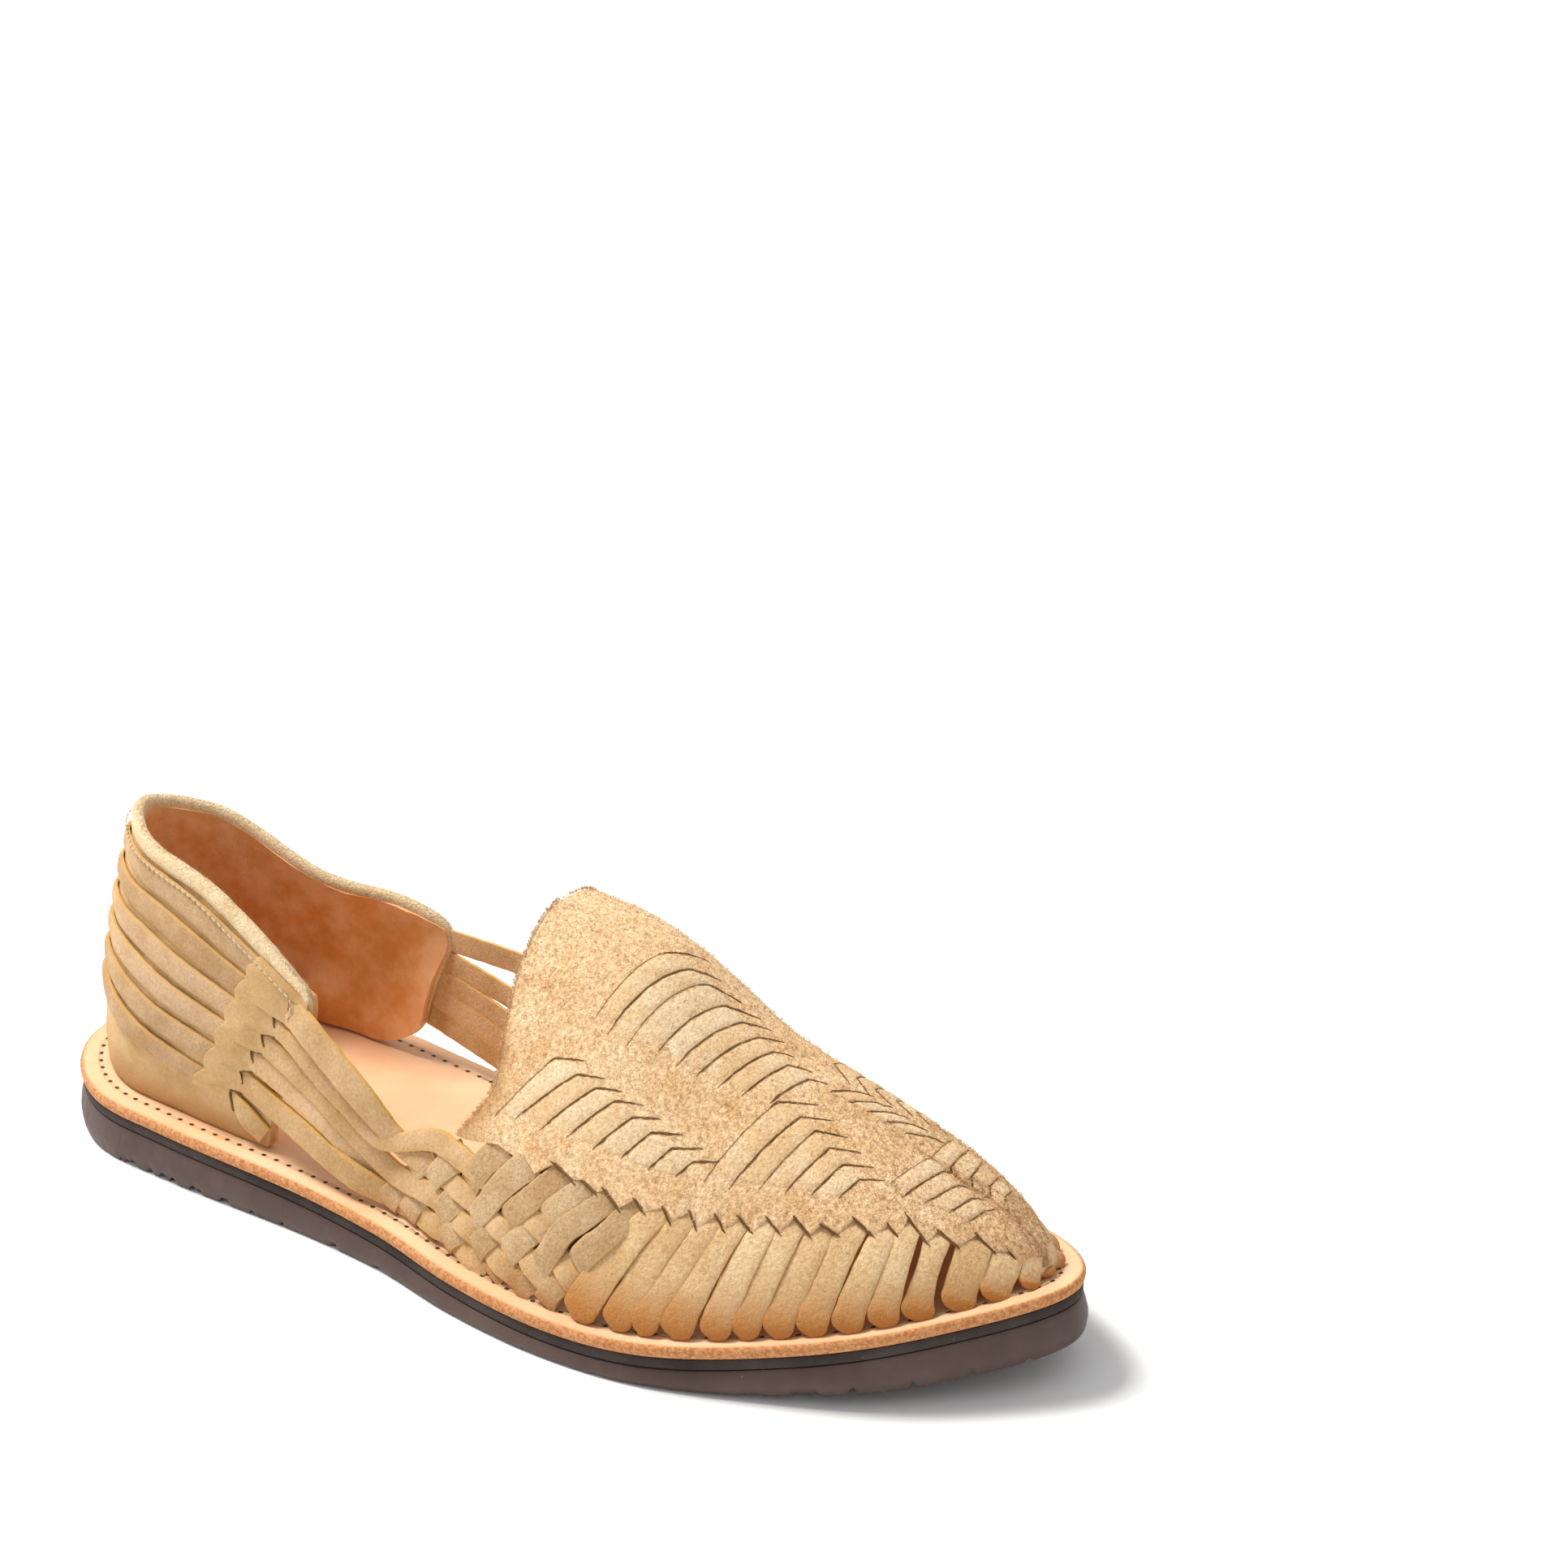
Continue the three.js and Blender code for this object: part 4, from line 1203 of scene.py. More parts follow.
def add_fibres(shell: Shell, root: Array, normal: Array, reach: tuple[float, float], radius: float, lean: float,
               rng: np.random.Generator) -> None:
    """Adds curved spikes, each a three-sided tube of three rings that ends in a fine tip.

    Args:
        shell: Mesh that takes the fibres.
        root: Places of the roots.
        normal: Directions out of the surface.
        reach: Shortest and longest fibre.
        radius: Radius at the root.
        lean: How far the fibres lean over, 0 upright and 1 flat.
        rng: Seeded source of directions and lengths.
    """
    count = len(root)
    aside = unit(np.cross(normal, unit(rng.normal(size=(count, 3)))))
    heading = unit(normal * (1 - lean * rng.uniform(0.5, 1, (count, 1))) + aside * lean)
    other = unit(np.cross(heading, normal + 0.01))
    third = np.cross(heading, other)
    length = rng.uniform(*reach, (count, 1))
    bend = aside * length * rng.uniform(-0.2, 0.5, (count, 1))
    angle = np.arange(3) * 2 * np.pi / 3
    round_it = other[:, None] * np.cos(angle)[:, None] + third[:, None] * np.sin(angle)[:, None]
    rings = []
    for share, thick in ((0.0, 1.0), (0.55, 0.75), (1.0, 0.15)):
        centre = root + heading * length * share + bend * share ** 2
        rings.append(centre[:, None] + radius * thick * round_it)
    points = np.stack(rings, 1)
    index = np.arange(count * 9).reshape(count, 3, 3)
    ahead = np.roll(index, -1, axis=2)
    quads = np.stack([index[:, :-1], ahead[:, :-1], ahead[:, 1:], index[:, 1:]], -1).reshape(-1, 4)
    finish = np.column_stack([rng.uniform(0, 1, count), np.zeros(count)])
    shell.add(points, quads, np.zeros((count * 9, 2)), np.repeat(finish, 9, 0))


def add_cord(shell: Shell, path: Array, radius: float, points: int) -> None:
    """Adds a thin round cord along a path, capped at its ends.

    Args:
        shell: Mesh that takes the cord.
        path: Points of its middle line.
        radius: Its radius.
        points: Points round its section, an even number.
    """
    tangent = unit(np.gradient(path, axis=0))
    side = unit(np.cross(tangent, np.array([0.0, 0.0, 1.0]) + 1e-6))
    lift = np.cross(side, tangent)
    angle = np.linspace(0, 2 * np.pi, points, endpoint=False)
    ends = np.array([0.6] + [1.0] * (len(path) - 2) + [0.6])[:, None, None] * radius
    rings = path[:, None] + ends * (side[:, None] * np.cos(angle)[:, None] + lift[:, None] * np.sin(angle)[:, None])
    shell.tube(rings, np.zeros(rings.shape[:2] + (2,)), (0.5, 0.0), capped=True)


# Corners of the saw-toothed edge of the vamp's suede, in stations along and lifts up the wall
TOOTH_LINE: Table = {
    "along": (0.0, 0.119, 0.14, 0.172, 0.203, 0.21, 0.226, 0.25, 0.275, 0.287, 0.304, 0.313, 0.332, 0.348, 0.361,
              0.381, 0.391, 0.41, 0.42, 0.439, 0.451, 0.464, 0.482, 0.494, 0.511, 0.524, 0.545, 0.557, 0.579,
              0.598, 0.626, 0.644, 0.661, 0.672, 0.701, 0.718, 0.747, 0.784, 0.813, 0.848, 0.866, 0.918, 0.937,
              0.965, 1.0),
    "lift": (0.2, 0.219, 0.228, 0.249, 0.241, 0.251, 0.232, 0.275, 0.26, 0.27, 0.261, 0.278, 0.257, 0.296, 0.279,
             0.311, 0.284, 0.328, 0.293, 0.341, 0.305, 0.356, 0.319, 0.377, 0.339, 0.406, 0.357, 0.405, 0.381,
             0.461, 0.402, 0.467, 0.409, 0.521, 0.4, 0.483, 0.394, 0.487, 0.367, 0.362, 0.224, 0.29, 0.164, 0.15,
             0.08),
}

# Strips of the side weave from the saw-toothed edge down to the insole: station, lift, and
# 1 where the strip passes over the crossing strap, 0 where it passes under
WEAVE_STRIPS: tuple[tuple[tuple[float, float, float], ...], ...] = (
    ((0.089, 0.156, 0), (0.074, 0.119, 1), (0.055, 0.078, 0), (0.038, 0.023, 1), (0.034, 0.002, 0.3)),
    ((0.129, 0.196, 0), (0.101, 0.133, 1), (0.081, 0.08, 0), (0.067, 0.029, 1), (0.062, 0.004, 0.3)),
    ((0.179, 0.251, 0.2), (0.157, 0.184, 1), (0.137, 0.126, 0), (0.116, 0.075, 1), (0.1, 0.036, 0),
     (0.09, 0.006, 0.5)),
    ((0.222, 0.251, 0.2), (0.206, 0.218, 1), (0.185, 0.167, 0.9), (0.167, 0.111, 1), (0.146, 0.068, 0),
     (0.125, 0.026, 1), (0.118, 0.006, 0.3)),
    ((0.266, 0.276, 0.2), (0.23, 0.187, 1), (0.211, 0.146, 1), (0.191, 0.1, 0), (0.172, 0.054, 1),
     (0.158, 0.018, 0), (0.152, 0.004, 0.3)),
    ((0.3, 0.282, 0.2), (0.261, 0.194, 1), (0.242, 0.144, 0), (0.217, 0.087, 1), (0.198, 0.039, 0),
     (0.188, 0.004, 0.6)),
    ((0.327, 0.285, 0.2), (0.298, 0.207, 1), (0.273, 0.153, 1), (0.256, 0.089, 1), (0.24, 0.045, 0),
     (0.222, 0.004, 1)),
    ((0.359, 0.305, 0.2), (0.325, 0.19, 1), (0.305, 0.139, 1), (0.283, 0.077, 0), (0.267, 0.03, 1),
     (0.26, 0.002, 1)),
)

# Toe strips beyond the weave: station and lift under the saw-toothed edge, station of the foot,
# and how much of the way to its neighbours the strip fills at its foot
TOE_STRIPS: Table = {
    "top": (0.385, 0.413, 0.443, 0.468, 0.498, 0.528, 0.563, 0.603, 0.647, 0.679, 0.723, 0.789, 0.855, 0.928,
            0.975),
    "lift": (0.328, 0.342, 0.354, 0.371, 0.394, 0.419, 0.425, 0.477, 0.489, 0.537, 0.511, 0.51, 0.39, 0.32, 0.17),
    "foot": (0.301, 0.345, 0.375, 0.411, 0.451, 0.482, 0.516, 0.554, 0.595, 0.639, 0.682, 0.736, 0.793, 0.872,
            0.965),
    "fill": (1.05, 1.04, 1.05, 1.02, 1.05, 1.05, 1.04, 1.0, 0.98, 0.94, 0.68, 0.98, 1.04, 1.05, 1.05),
}

# Slits of the vamp that short strips are threaded through: bottom, bend and top of each, as
# station and place across, and 1 where the lower part shows as a dark line
SLITS: dict[str, tuple[tuple[float, ...], ...]] = {
    "instep": (
        (0.259, -0.384, 0.295, -0.018, 0.314, 0.146, 0), (0.277, -0.403, 0.322, 0.01, 0.339, 0.111, 1),
        (0.3, -0.398, 0.342, 0.027, 0.367, 0.114, 0.1), (0.332, -0.349, 0.367, 0.008, 0.391, 0.127, 0.5),
        (0.354, -0.342, 0.391, 0.004, 0.409, 0.114, 1), (0.377, -0.322, 0.415, -0.006, 0.43, 0.098, 1),
        (0.403, -0.308, 0.438, -0.025, 0.457, 0.046, 1), (0.431, -0.285, 0.461, -0.037, 0.487, 0.03, 1),
        (0.463, -0.25, 0.491, -0.032, 0.512, 0.026, 1)),
    "side": (
        (0.166, -0.7, 0.225, -0.523, 0.263, -0.491, 0.1), (0.192, -0.685, 0.256, -0.53, 0.287, -0.505, 1),
        (0.225, -0.68, 0.28, -0.536, 0.309, -0.505, 1), (0.259, -0.666, 0.304, -0.536, 0.334, -0.497, 1),
        (0.291, -0.661, 0.327, -0.54, 0.356, -0.496, 1), (0.324, -0.642, 0.35, -0.542, 0.383, -0.494, 1),
        (0.355, -0.628, 0.376, -0.542, 0.408, -0.5, 1), (0.386, -0.606, 0.402, -0.546, 0.429, -0.514, 0.8)),
    "ball": (
        (0.418, -0.583, 0.471, -0.225, 0.517, -0.134, 0.2), (0.446, -0.577, 0.502, -0.232, 0.543, -0.16, 1),
        (0.478, -0.549, 0.525, -0.255, 0.567, -0.206, 0.4), (0.508, -0.526, 0.548, -0.296, 0.591, -0.244, 1),
        (0.539, -0.504, 0.57, -0.336, 0.613, -0.288, 1), (0.573, -0.482, 0.596, -0.372, 0.631, -0.333, 1)),
    "crown": (
        (0.524, -0.015, 0.534, 0.12, 0.545, 0.18, 1), (0.55, 0.0, 0.56, 0.13, 0.572, 0.19, 1),
        (0.576, 0.02, 0.586, 0.14, 0.6, 0.2, 1), (0.604, 0.04, 0.614, 0.155, 0.63, 0.21, 1),
        (0.636, 0.055, 0.648, 0.165, 0.664, 0.22, 1)),
    "toe": (
        (0.64, -0.338, 0.71, 0.0, 0.745, 0.09, 0), (0.66, -0.387, 0.738, -0.065, 0.782, 0.03, 1),
        (0.694, -0.389, 0.768, -0.135, 0.818, -0.05, 1), (0.735, -0.405, 0.795, -0.215, 0.845, -0.14, 1),
        (0.772, -0.43, 0.82, -0.3, 0.862, -0.24, 0.8)),
}


# Steps along a slit: 0 to 1 from its bottom to its bend, 1 to 2 from its bend to its top
SLIT_STEPS = np.concatenate([np.linspace(0, 1, 20), np.linspace(1, 2, 9)[1:]])


@dataclass(frozen=True)
class Vamp:
    """The woven front of the upper: suede cover, threaded strips, toe strips and side weave.

    Rises are heights over the form's face. The cover is a grid of columns by rows from the first
    station to the tip, sheared over shear_reach to follow the throat, and thinner by edge_thin and
    mouth_thin within edge_round of its edges. over and under are the two levels of the weave.
    """

    form: VampForm = VampForm()
    cover_rise: float = 0.001
    wall: float = 0.0013
    columns: int = 290
    rows: int = 116
    crowding: float = 0.35
    first: float = 0.12
    shear_reach: float = 0.15
    edge_round: float = 0.0012
    edge_thin: float = 0.0003
    mouth_thin: float = 0.0004
    wall_height: float = 0.14
    ridge_length: float = 0.15
    over: float = 0.0018
    under: float = 0.0005
    strip_rise: float = 0.0013
    cell_rise: float = 0.00032
    cell_share: float = 0.94
    slit_width: float = 0.00046
    fibres: int = 9500
    cut: StripCut = StripCut(thickness=0.0012, edge_drop=0.00028, plateau=True, samples=72)
    toe_cut: StripCut = StripCut(thickness=0.0016, edge_drop=0.00045, start_round=0.0032, tilt=-0.0003, samples=60)

    def relief(self, place: Array) -> Array:
        """Height of the suede's slow waves and clumps."""
        return 0.00016 * wobble(place, 0.011, 3) + 0.00008 * wobble(place, 0.0025, 4)

    def station(self, share: Array, place: Array) -> tuple[Array, Array]:
        """Station and place across of the cover at shares along it and from edge to edge.

        A column near the throat is sheared to follow the throat's line, and the shear dies out
        with the square of the distance.

        Args:
            share: Share of the way from the throat to the tip.
            place: Share of the way from the outer to the inner edge.

        Returns:
            Station and place across.
        """
        edge = np.interp(share, TOOTH_LINE["along"], TOOTH_LINE["lift"])
        across = (1 - edge) * (2 * place - 1)
        lift = 1 - np.abs(across)
        throat = np.where(across < 0, self.form.throat(-1.0, lift), self.form.throat(1.0, lift))
        fall = np.clip(1 - (share - self.first) / self.shear_reach, 0, 1) ** 2
        return share + (throat - self.first) * fall, across

    def cover(self) -> Shell:
        """Suede cover between its two saw-toothed edges, as a wall behind a grid.

        The rows crowd toward both edges by a sine, and the wall thins at the edges and the throat.

        Returns:
            The cover as a closed wall.
        """
        marks = np.array(TOOTH_LINE["along"])
        marks = marks[marks >= self.first]
        share = np.unique(np.concatenate([np.linspace(self.first, 1, self.columns), marks, marks[:-1] + 0.0008]))
        place = np.linspace(0, 1, self.rows)
        place = place - self.crowding * np.sin(2 * np.pi * place) / (2 * np.pi)
        share, place = np.meshgrid(share, place, indexing="ij")
        along, across = self.station(share, place)
        spot, normal = face_at(self.form, along, across)
        rim = np.minimum(place, 1 - place) * self.wall_height
        thin = self.edge_thin * (1 - eased(rim / self.edge_round))
        mouth = self.mouth_thin * (1 - eased((share - self.first) * self.ridge_length / self.edge_round))
        top = spot + normal * (self.cover_rise + self.relief(spot) - thin - mouth)[..., None]
        bottom = spot + normal * (self.cover_rise - self.wall + 0.4 * mouth)[..., None]
        low = 1 - np.abs(across)
        # Painted shade: darker and browner low on the sides near the throat and at the toe, toward the insole.
        dark = 0.7 * (1 - eased((share - self.first) / 0.06)) * eased((0.66 - low) / 0.3) \
            + 0.45 * eased((share - 0.84) / 0.14) * eased((0.4 - low) / 0.3)
        shell = Shell("vamp_suede_cover")
        shell.slab(top, bottom, **wall_maps(along, 0.3, dark), closed_end=True)
        return shell

    def slit(self, ends: tuple[float, ...], side: Side) -> Array:
        """Stations of a slit: straight from its bottom to its bend, then straight to its top.

        Args:
            ends: Bottom, bend and top of the slit.
            side: Side of the shoe.

        Returns:
            Rows of station and place across.
        """
        a, b, c = np.array(ends[:6]).reshape(3, 2) * [1, -side.value]
        step = SLIT_STEPS[:, None]
        return np.where(step <= 1, a + (b - a) * step, b + (c - b) * (step - 1))

    def groups(self) -> list[tuple[Side, tuple[tuple[float, ...], ...]]]:
        """All groups of slits: those on the crown once, the others on both sides."""
        both = [(side, SLITS[name]) for name in ("side", "ball", "toe") for side in Side]
        return [(Side.OUTER, SLITS["instep"]), (Side.OUTER, SLITS["crown"])] + both

    def threaded(self) -> Shell:
        """Strips between neighbouring slits, flush with the cover, that dive at both ends.

        A strip's point is the mix of the two slits by the place across it.

        Returns:
            The strips as one mesh.
        """
        shell = Shell("vamp_threaded_strips")
        profile = np.interp(SLIT_STEPS, [0, 0.12, 0.3, 0.96, 1.3, 2], [-0.9, 0.7, 1.0, 1.0, 0.1, -2.0]) * self.cell_rise
        for number, (side, slits) in enumerate(self.groups()):
            for k, (left, right) in enumerate(zip(slits[:-1], slits[1:])):
                a, b = self.slit(left, side)[:, None], self.slit(right, side)[:, None]
                share = ((ACROSS * self.cell_share + 1) / 2)[None, :, None]
                where = a * (1 - share) + b * share
                place, normal = face_at(self.form, where[..., 0], where[..., 1])
                high = self.cover_rise + self.relief(place) + profile[:, None] \
                    + (-0.00032 * ACROSS ** 4 + 0.0001 * ACROSS)[None, :]
                top = place + normal * high[..., None]
                bottom = place + normal * (self.cover_rise - 0.0008)
                tone = np.random.default_rng(10 * number + k).uniform()
                surface = np.stack(np.broadcast_arrays(SLIT_STEPS[:, None] * 0.01, ACROSS[None, :] * 0.001), -1)
                shell.slab(top, bottom, surface, (tone, 0.0))
        return shell

    def dark_slits(self) -> Shell:
        """Thin dark lines of painted shade in the open slits and along the saw-toothed edge, wavy in width and fine at
        their ends.

        Returns:
            The lines as one mesh.
        """
        shell = Shell("vamp_slits")
        for side, slits in self.groups():
            for ends in slits:
                where = self.slit(ends, side)
                place, normal = face_at(self.form, where[:, 0], where[:, 1])
                wide = np.interp(SLIT_STEPS, [0, 0.2, 0.85, 1.0, 1.7, 2], [0.15, ends[6], ends[6], 1.0, 0.9, 0.3])
                wide = wide * self.slit_width * (1 + 0.7 * wobble(place, 0.0014, 9))
                self.line(shell, place, normal, wide, self.cover_rise + self.relief(place) + 0.00012)
        corners = np.column_stack([TOOTH_LINE["along"], TOOTH_LINE["lift"]])
        for side in Side:
            for start, end in zip(corners[7:-5:2], corners[8:-4:2]):
                where = start + (end - start) * np.linspace(-0.25, 1.1, 14)[:, None] - [0.0, 0.006]
                place, normal = face_at(self.form, where[:, 0], side.value * (1 - where[:, 1]))
                wide = np.interp(np.arange(14), [0, 3, 10, 13], [0.3, 1.1, 1.0, 0.3]) * self.slit_width
                wide = wide * (1 + 0.4 * wobble(place, 0.0016, 12))
                self.line(shell, place, normal, wide, self.cover_rise + 0 * wide)
        return shell

    def line(self, shell: Shell, place: Array, normal: Array, wide: Array, high: Array) -> None:
        """Adds a thin flat line along a path.

        Args:
            shell: Mesh that takes the line.
            place: Points of the path on the face.
            normal: Directions out of the face.
            wide: Width at each point.
            high: Height over the face at each point.
        """
        tangent = unit(np.gradient(place, axis=0))
        aside = unit(np.cross(normal, tangent))
        offset = np.array([-0.5, -0.2, 0.2, 0.5])[None, :] * np.maximum(wide, 0.00006)[:, None] \
            + 0.00016 * wobble(place, 0.0022, 14)[:, None]
        top = place[:, None] + aside[:, None] * offset[..., None] + (normal * high[:, None])[:, None]
        shell.slab(top, top - normal[:, None] * 0.0003, np.zeros(top.shape[:2] + (2,)), (0.5, 0.0))

    def toe_strips(self, side: Side) -> Shell:
        """Strips from beneath the saw-toothed edge down to rounded feet on the insole.

        Args:
            side: Side of the shoe.

        Returns:
            The strips as one mesh.
        """
        shell = Shell(f"toe_strips_{side.name.lower()}")
        table = {key: np.array(values) for key, values in TOE_STRIPS.items()}
        share = np.array([1.0, 0.93, 0.8, 0.6, 0.4, 0.22, 0.09, 0.0])
        lines = []
        for top, lift, foot in zip(table["top"], table["lift"], table["foot"]):
            along = foot + (top - foot) * share ** 1.15
            lines.append(on_surface(self.form, np.column_stack([along, side.value * (1 - lift * share)])))
        widths = spacing(lines)
        for k, line in enumerate(lines):
            fill = 1.04 + (table["fill"][k] - 1.04) * np.sin(np.pi * np.clip((1 - share) * 1.1, 0, 1)) ** 0.7
            wide = np.clip(widths[k] * fill, 0.004, 0.0095 if k < 12 else 0.014)
            high = np.array([-0.2, 0.1, 0.75, 0.95, 1.0, 1.2, 1.6, 1.3]) * self.strip_rise + 0.00018 * np.sin(5.0 * k)
            burn = np.array([0, 0, 0, 0.06, 0.25, 0.6, 0.95, 1.15])
            stations = np.column_stack([line, wide, high, burn])
            out = line[:, 3:6] * [1, 1, 0]
            stations[:, :3] += unit(out) * (np.array([0, 0, 0, 0, 0, 0.2, 0.7, 0.9]) * 0.0014)[:, None]
            lay_strip(shell, stations[::-1], self.toe_cut, 40 + k)
        return shell

    def side_weave(self, side: Side) -> Shell:
        """Strips that cross over and under the side straps.

        Args:
            side: Side of the shoe.

        Returns:
            The strips as one mesh.
        """
        shell = Shell(f"side_weave_{side.name.lower()}")
        lines = [on_surface(self.form, np.column_stack([np.array(s)[:, 0], side.value * (1 - np.array(s)[:, 1])]))
                 for s in WEAVE_STRIPS]
        widths = spacing(lines)
        for k, (strip, line) in enumerate(zip(WEAVE_STRIPS, lines)):
            over = np.array(strip)[:, 2]
            high = self.under + (self.over - self.under) * over
            high = np.where(np.array(strip)[:, 1] > 0.235, -0.0001, high)
            wide = np.clip(widths[k] * 0.95, 0.005, 0.0074)
            burn = np.clip(1 - np.array(strip)[:, 1] / 0.05, 0, 1) * 0.8
            lay_strip(shell, np.column_stack([line, wide, high, burn]), self.cut, 70 + k)
        return shell

    def weave_shade(self, side: Side) -> Shell:
        """Dark sheet of painted shade behind the side weave, seen only between its strips.

        Args:
            side: Side of the shoe.

        Returns:
            The sheet.
        """
        low, share = np.meshgrid(np.linspace(0.03, 0.26, 14), np.linspace(0, 1, 40))
        first = self.form.throat(float(side.value), low) + 0.035
        along, across = first + (0.37 - first) * share, side.value * (1 - low)
        place, normal = face_at(self.form, along, across)
        shell = Shell(f"weave_shade_{side.name.lower()}")
        shell.slab(place - normal * 0.0008, place - normal * 0.0013, np.zeros(low.shape + (2,)), (0.5, 0.0))
        return shell

    def nap(self) -> Shell:
        """Loose fibres of the cover's rough side: thin three-sided spikes at seeded places.

        Returns:
            The fibres as one mesh.
        """
        rng = np.random.default_rng(5)
        share = self.first + (0.995 - self.first) * rng.uniform(0, 1, self.fibres)
        place = rng.uniform(0.004, 0.996, self.fibres)
        edge = rng.uniform(0, 1, self.fibres) < 0.12
        share = np.where(edge, self.first + 0.001, share)
        along, across = self.station(share, place)
        root, normal = face_at(self.form, along, across)
        shell = Shell("vamp_nap")
        add_fibres(shell, root + normal * (self.cover_rise + self.relief(root) - 0.0001)[:, None], normal,
                   (0.0005, 0.0013), 0.00009, 0.5, rng)
        return shell

    def dress(self) -> None:
        """Builds the cover, the threaded strips, and the toe strips and weave of both sides."""
        # weave holds the strip suede's darker copy: painted shade on the side weave.
        strip, rough, weave, shade = (suede.material() for suede in (STRIP_SUEDE, ROUGH_SUEDE, SHADED_WEAVE_SUEDE, SLIT_SUEDE))
        self.cover().build(rough, "vamp_suede", "vamp", 60, weld=True)
        self.threaded().build(THREADED_SUEDE.material(), "vamp_suede", "vamp")
        self.dark_slits().build(shade, "vamp_suede", "vamp")
        self.nap().build(rough, "vamp_suede", "vamp", 180)
        for side in Side:
            self.toe_strips(side).build(strip, "vamp_suede", "vamp")
            self.side_weave(side).build(weave, "vamp_suede", "vamp")
            self.weave_shade(side).build(shade, "vamp_suede", "vamp")


@dataclass(frozen=True)
class StrapRow:
    """One strap from a slit of the wing to the side weave.

    start is the slit's turn and climb, air the points between the wing and the vamp in millimetres
    of the row frame, and weave the station, lift and level of each point in the side weave.
    """

    start: tuple[float, float]
    air: tuple[tuple[float, float, float], ...]
    weave: tuple[tuple[float, float, float], ...]
    width: float


# Side straps of the outer wing, in the order in which they are laid
OUTER_STRAPS: tuple[StrapRow, ...] = (
    StrapRow((0.035, 0.752),
             ((-49.9, -27.2, 45.4), (-42.0, -28.0, 39.9), (-34.0, -28.6, 35.2), (-22.8, -29.2, 29.4)),
             ((0.084, 0.185, 1), (0.114, 0.191, 1), (0.157, 0.178, 0.8), (0.185, 0.163, 0), (0.211, 0.15, 0),
              (0.242, 0.144, 1), (0.263, 0.111, 0), (0.283, 0.077, 1), (0.297, 0.049, 0)), 0.0042),
    StrapRow((0.039, 0.362),
             ((-48.8, -29.8, 25.4), (-39.1, -30.9, 21.6), (-29.6, -31.4, 18.4)),
             ((0.033, 0.03, 0.6), (0.067, 0.027, 0), (0.102, 0.031, 1), (0.126, 0.026, 0), (0.158, 0.014, 0.8),
              (0.18, 0.004, 0.2)), 0.006),
    StrapRow((0.0375, 0.51),
             ((-47.3, -28.2, 32.3), (-37.5, -29.2, 27.5)),
             ((0.01, 0.055, 0.6), (0.035, 0.047, 0.2), (0.055, 0.036, 0)), 0.0056),
    StrapRow((0.0345, 0.628),
             ((-44.9, -27.9, 36.7), (-35.3, -29.0, 31.3)),
             ((0.03, 0.087, 1), (0.053, 0.079, 1), (0.087, 0.083, 1), (0.116, 0.076, 0), (0.146, 0.069, 1),
              (0.174, 0.054, 0), (0.198, 0.037, 1), (0.225, 0.02, 0)), 0.0056),
    StrapRow((0.0315, 0.874),
             ((-46.3, -27.6, 51.9), (-38.8, -28.3, 46.5), (-29.4, -29.3, 40.1)),
             ((0.044, 0.148, 1.4), (0.069, 0.137, 1.2), (0.101, 0.13, 0), (0.137, 0.126, 1), (0.167, 0.112, 0),
              (0.191, 0.1, 1), (0.217, 0.087, 0), (0.24, 0.062, 1), (0.267, 0.03, 0)), 0.0072),
)

# Zigzag slits of the wing: tips and teeth in turn, as turn and climb
ZIGZAG: tuple[tuple[float, float], ...] = (
    (0.042, 0.925), (0.0147, 0.794), (0.0425, 0.79), (0.0242, 0.703), (0.0428, 0.668), (0.0237, 0.578),
    (0.0444, 0.556), (0.0286, 0.455), (0.0462, 0.415), (0.0295, 0.3), (0.0504, 0.284), (0.0408, 0.165),
)

# Straps of the inner side: slit on the wing, then the weave's stations
INNER_STRAPS: tuple[tuple[tuple[float, float], tuple[tuple[float, float, float], ...]], ...] = (
    ((0.9685, 0.874), ((0.13, 0.35, 1), (0.16, 0.3, 0.3), (0.2, 0.26, 0))),
    ((0.965, 0.752), ((0.09, 0.2, 1), (0.115, 0.185, 1), (0.158, 0.173, 0), (0.185, 0.16, 1), (0.211, 0.148, 0),
                    (0.242, 0.145, 1), (0.263, 0.112, 0))),
    ((0.9655, 0.628), ((0.07, 0.132, 1), (0.102, 0.126, 0), (0.137, 0.122, 1), (0.167, 0.109, 0), (0.191, 0.098, 1),
                     (0.217, 0.086, 0), (0.24, 0.062, 1), (0.267, 0.03, 0))),
    ((0.9625, 0.51), ((0.06, 0.076, 1), (0.087, 0.08, 1), (0.116, 0.074, 0), (0.146, 0.067, 1), (0.174, 0.053, 0),
                     (0.198, 0.036, 1), (0.225, 0.02, 0))),
    ((0.961, 0.362), ((0.055, 0.028, 0.6), (0.08, 0.026, 0), (0.102, 0.03, 1), (0.126, 0.025, 0), (0.158, 0.014, 0.8))),
)

# Diagonal straps of the heel: turn and climb at the back and at the wing's scalloped edge
HEEL_STRAPS: Table = {
    "start_turn": (0.485, 0.482, 0.47, 0.45, 0.425, 0.4),
    "start_climb": (0.9, 0.78, 0.665, 0.575, 0.475, 0.39),
    "end_turn": (0.108, 0.099, 0.09, 0.083, 0.08, 0.086),
    "end_climb": (0.905, 0.805, 0.685, 0.555, 0.415, 0.262),
}


@dataclass(frozen=True)
class WingFront:
    """Front edge of a wing: its two round corners and where the collar's seam starts on it.

    reach and rise are the upper corner's turn and climb, foot and low those of the lower one.
    """

    reach: float
    rise: float
    foot: float
    low: float
    seam: float
    points: int


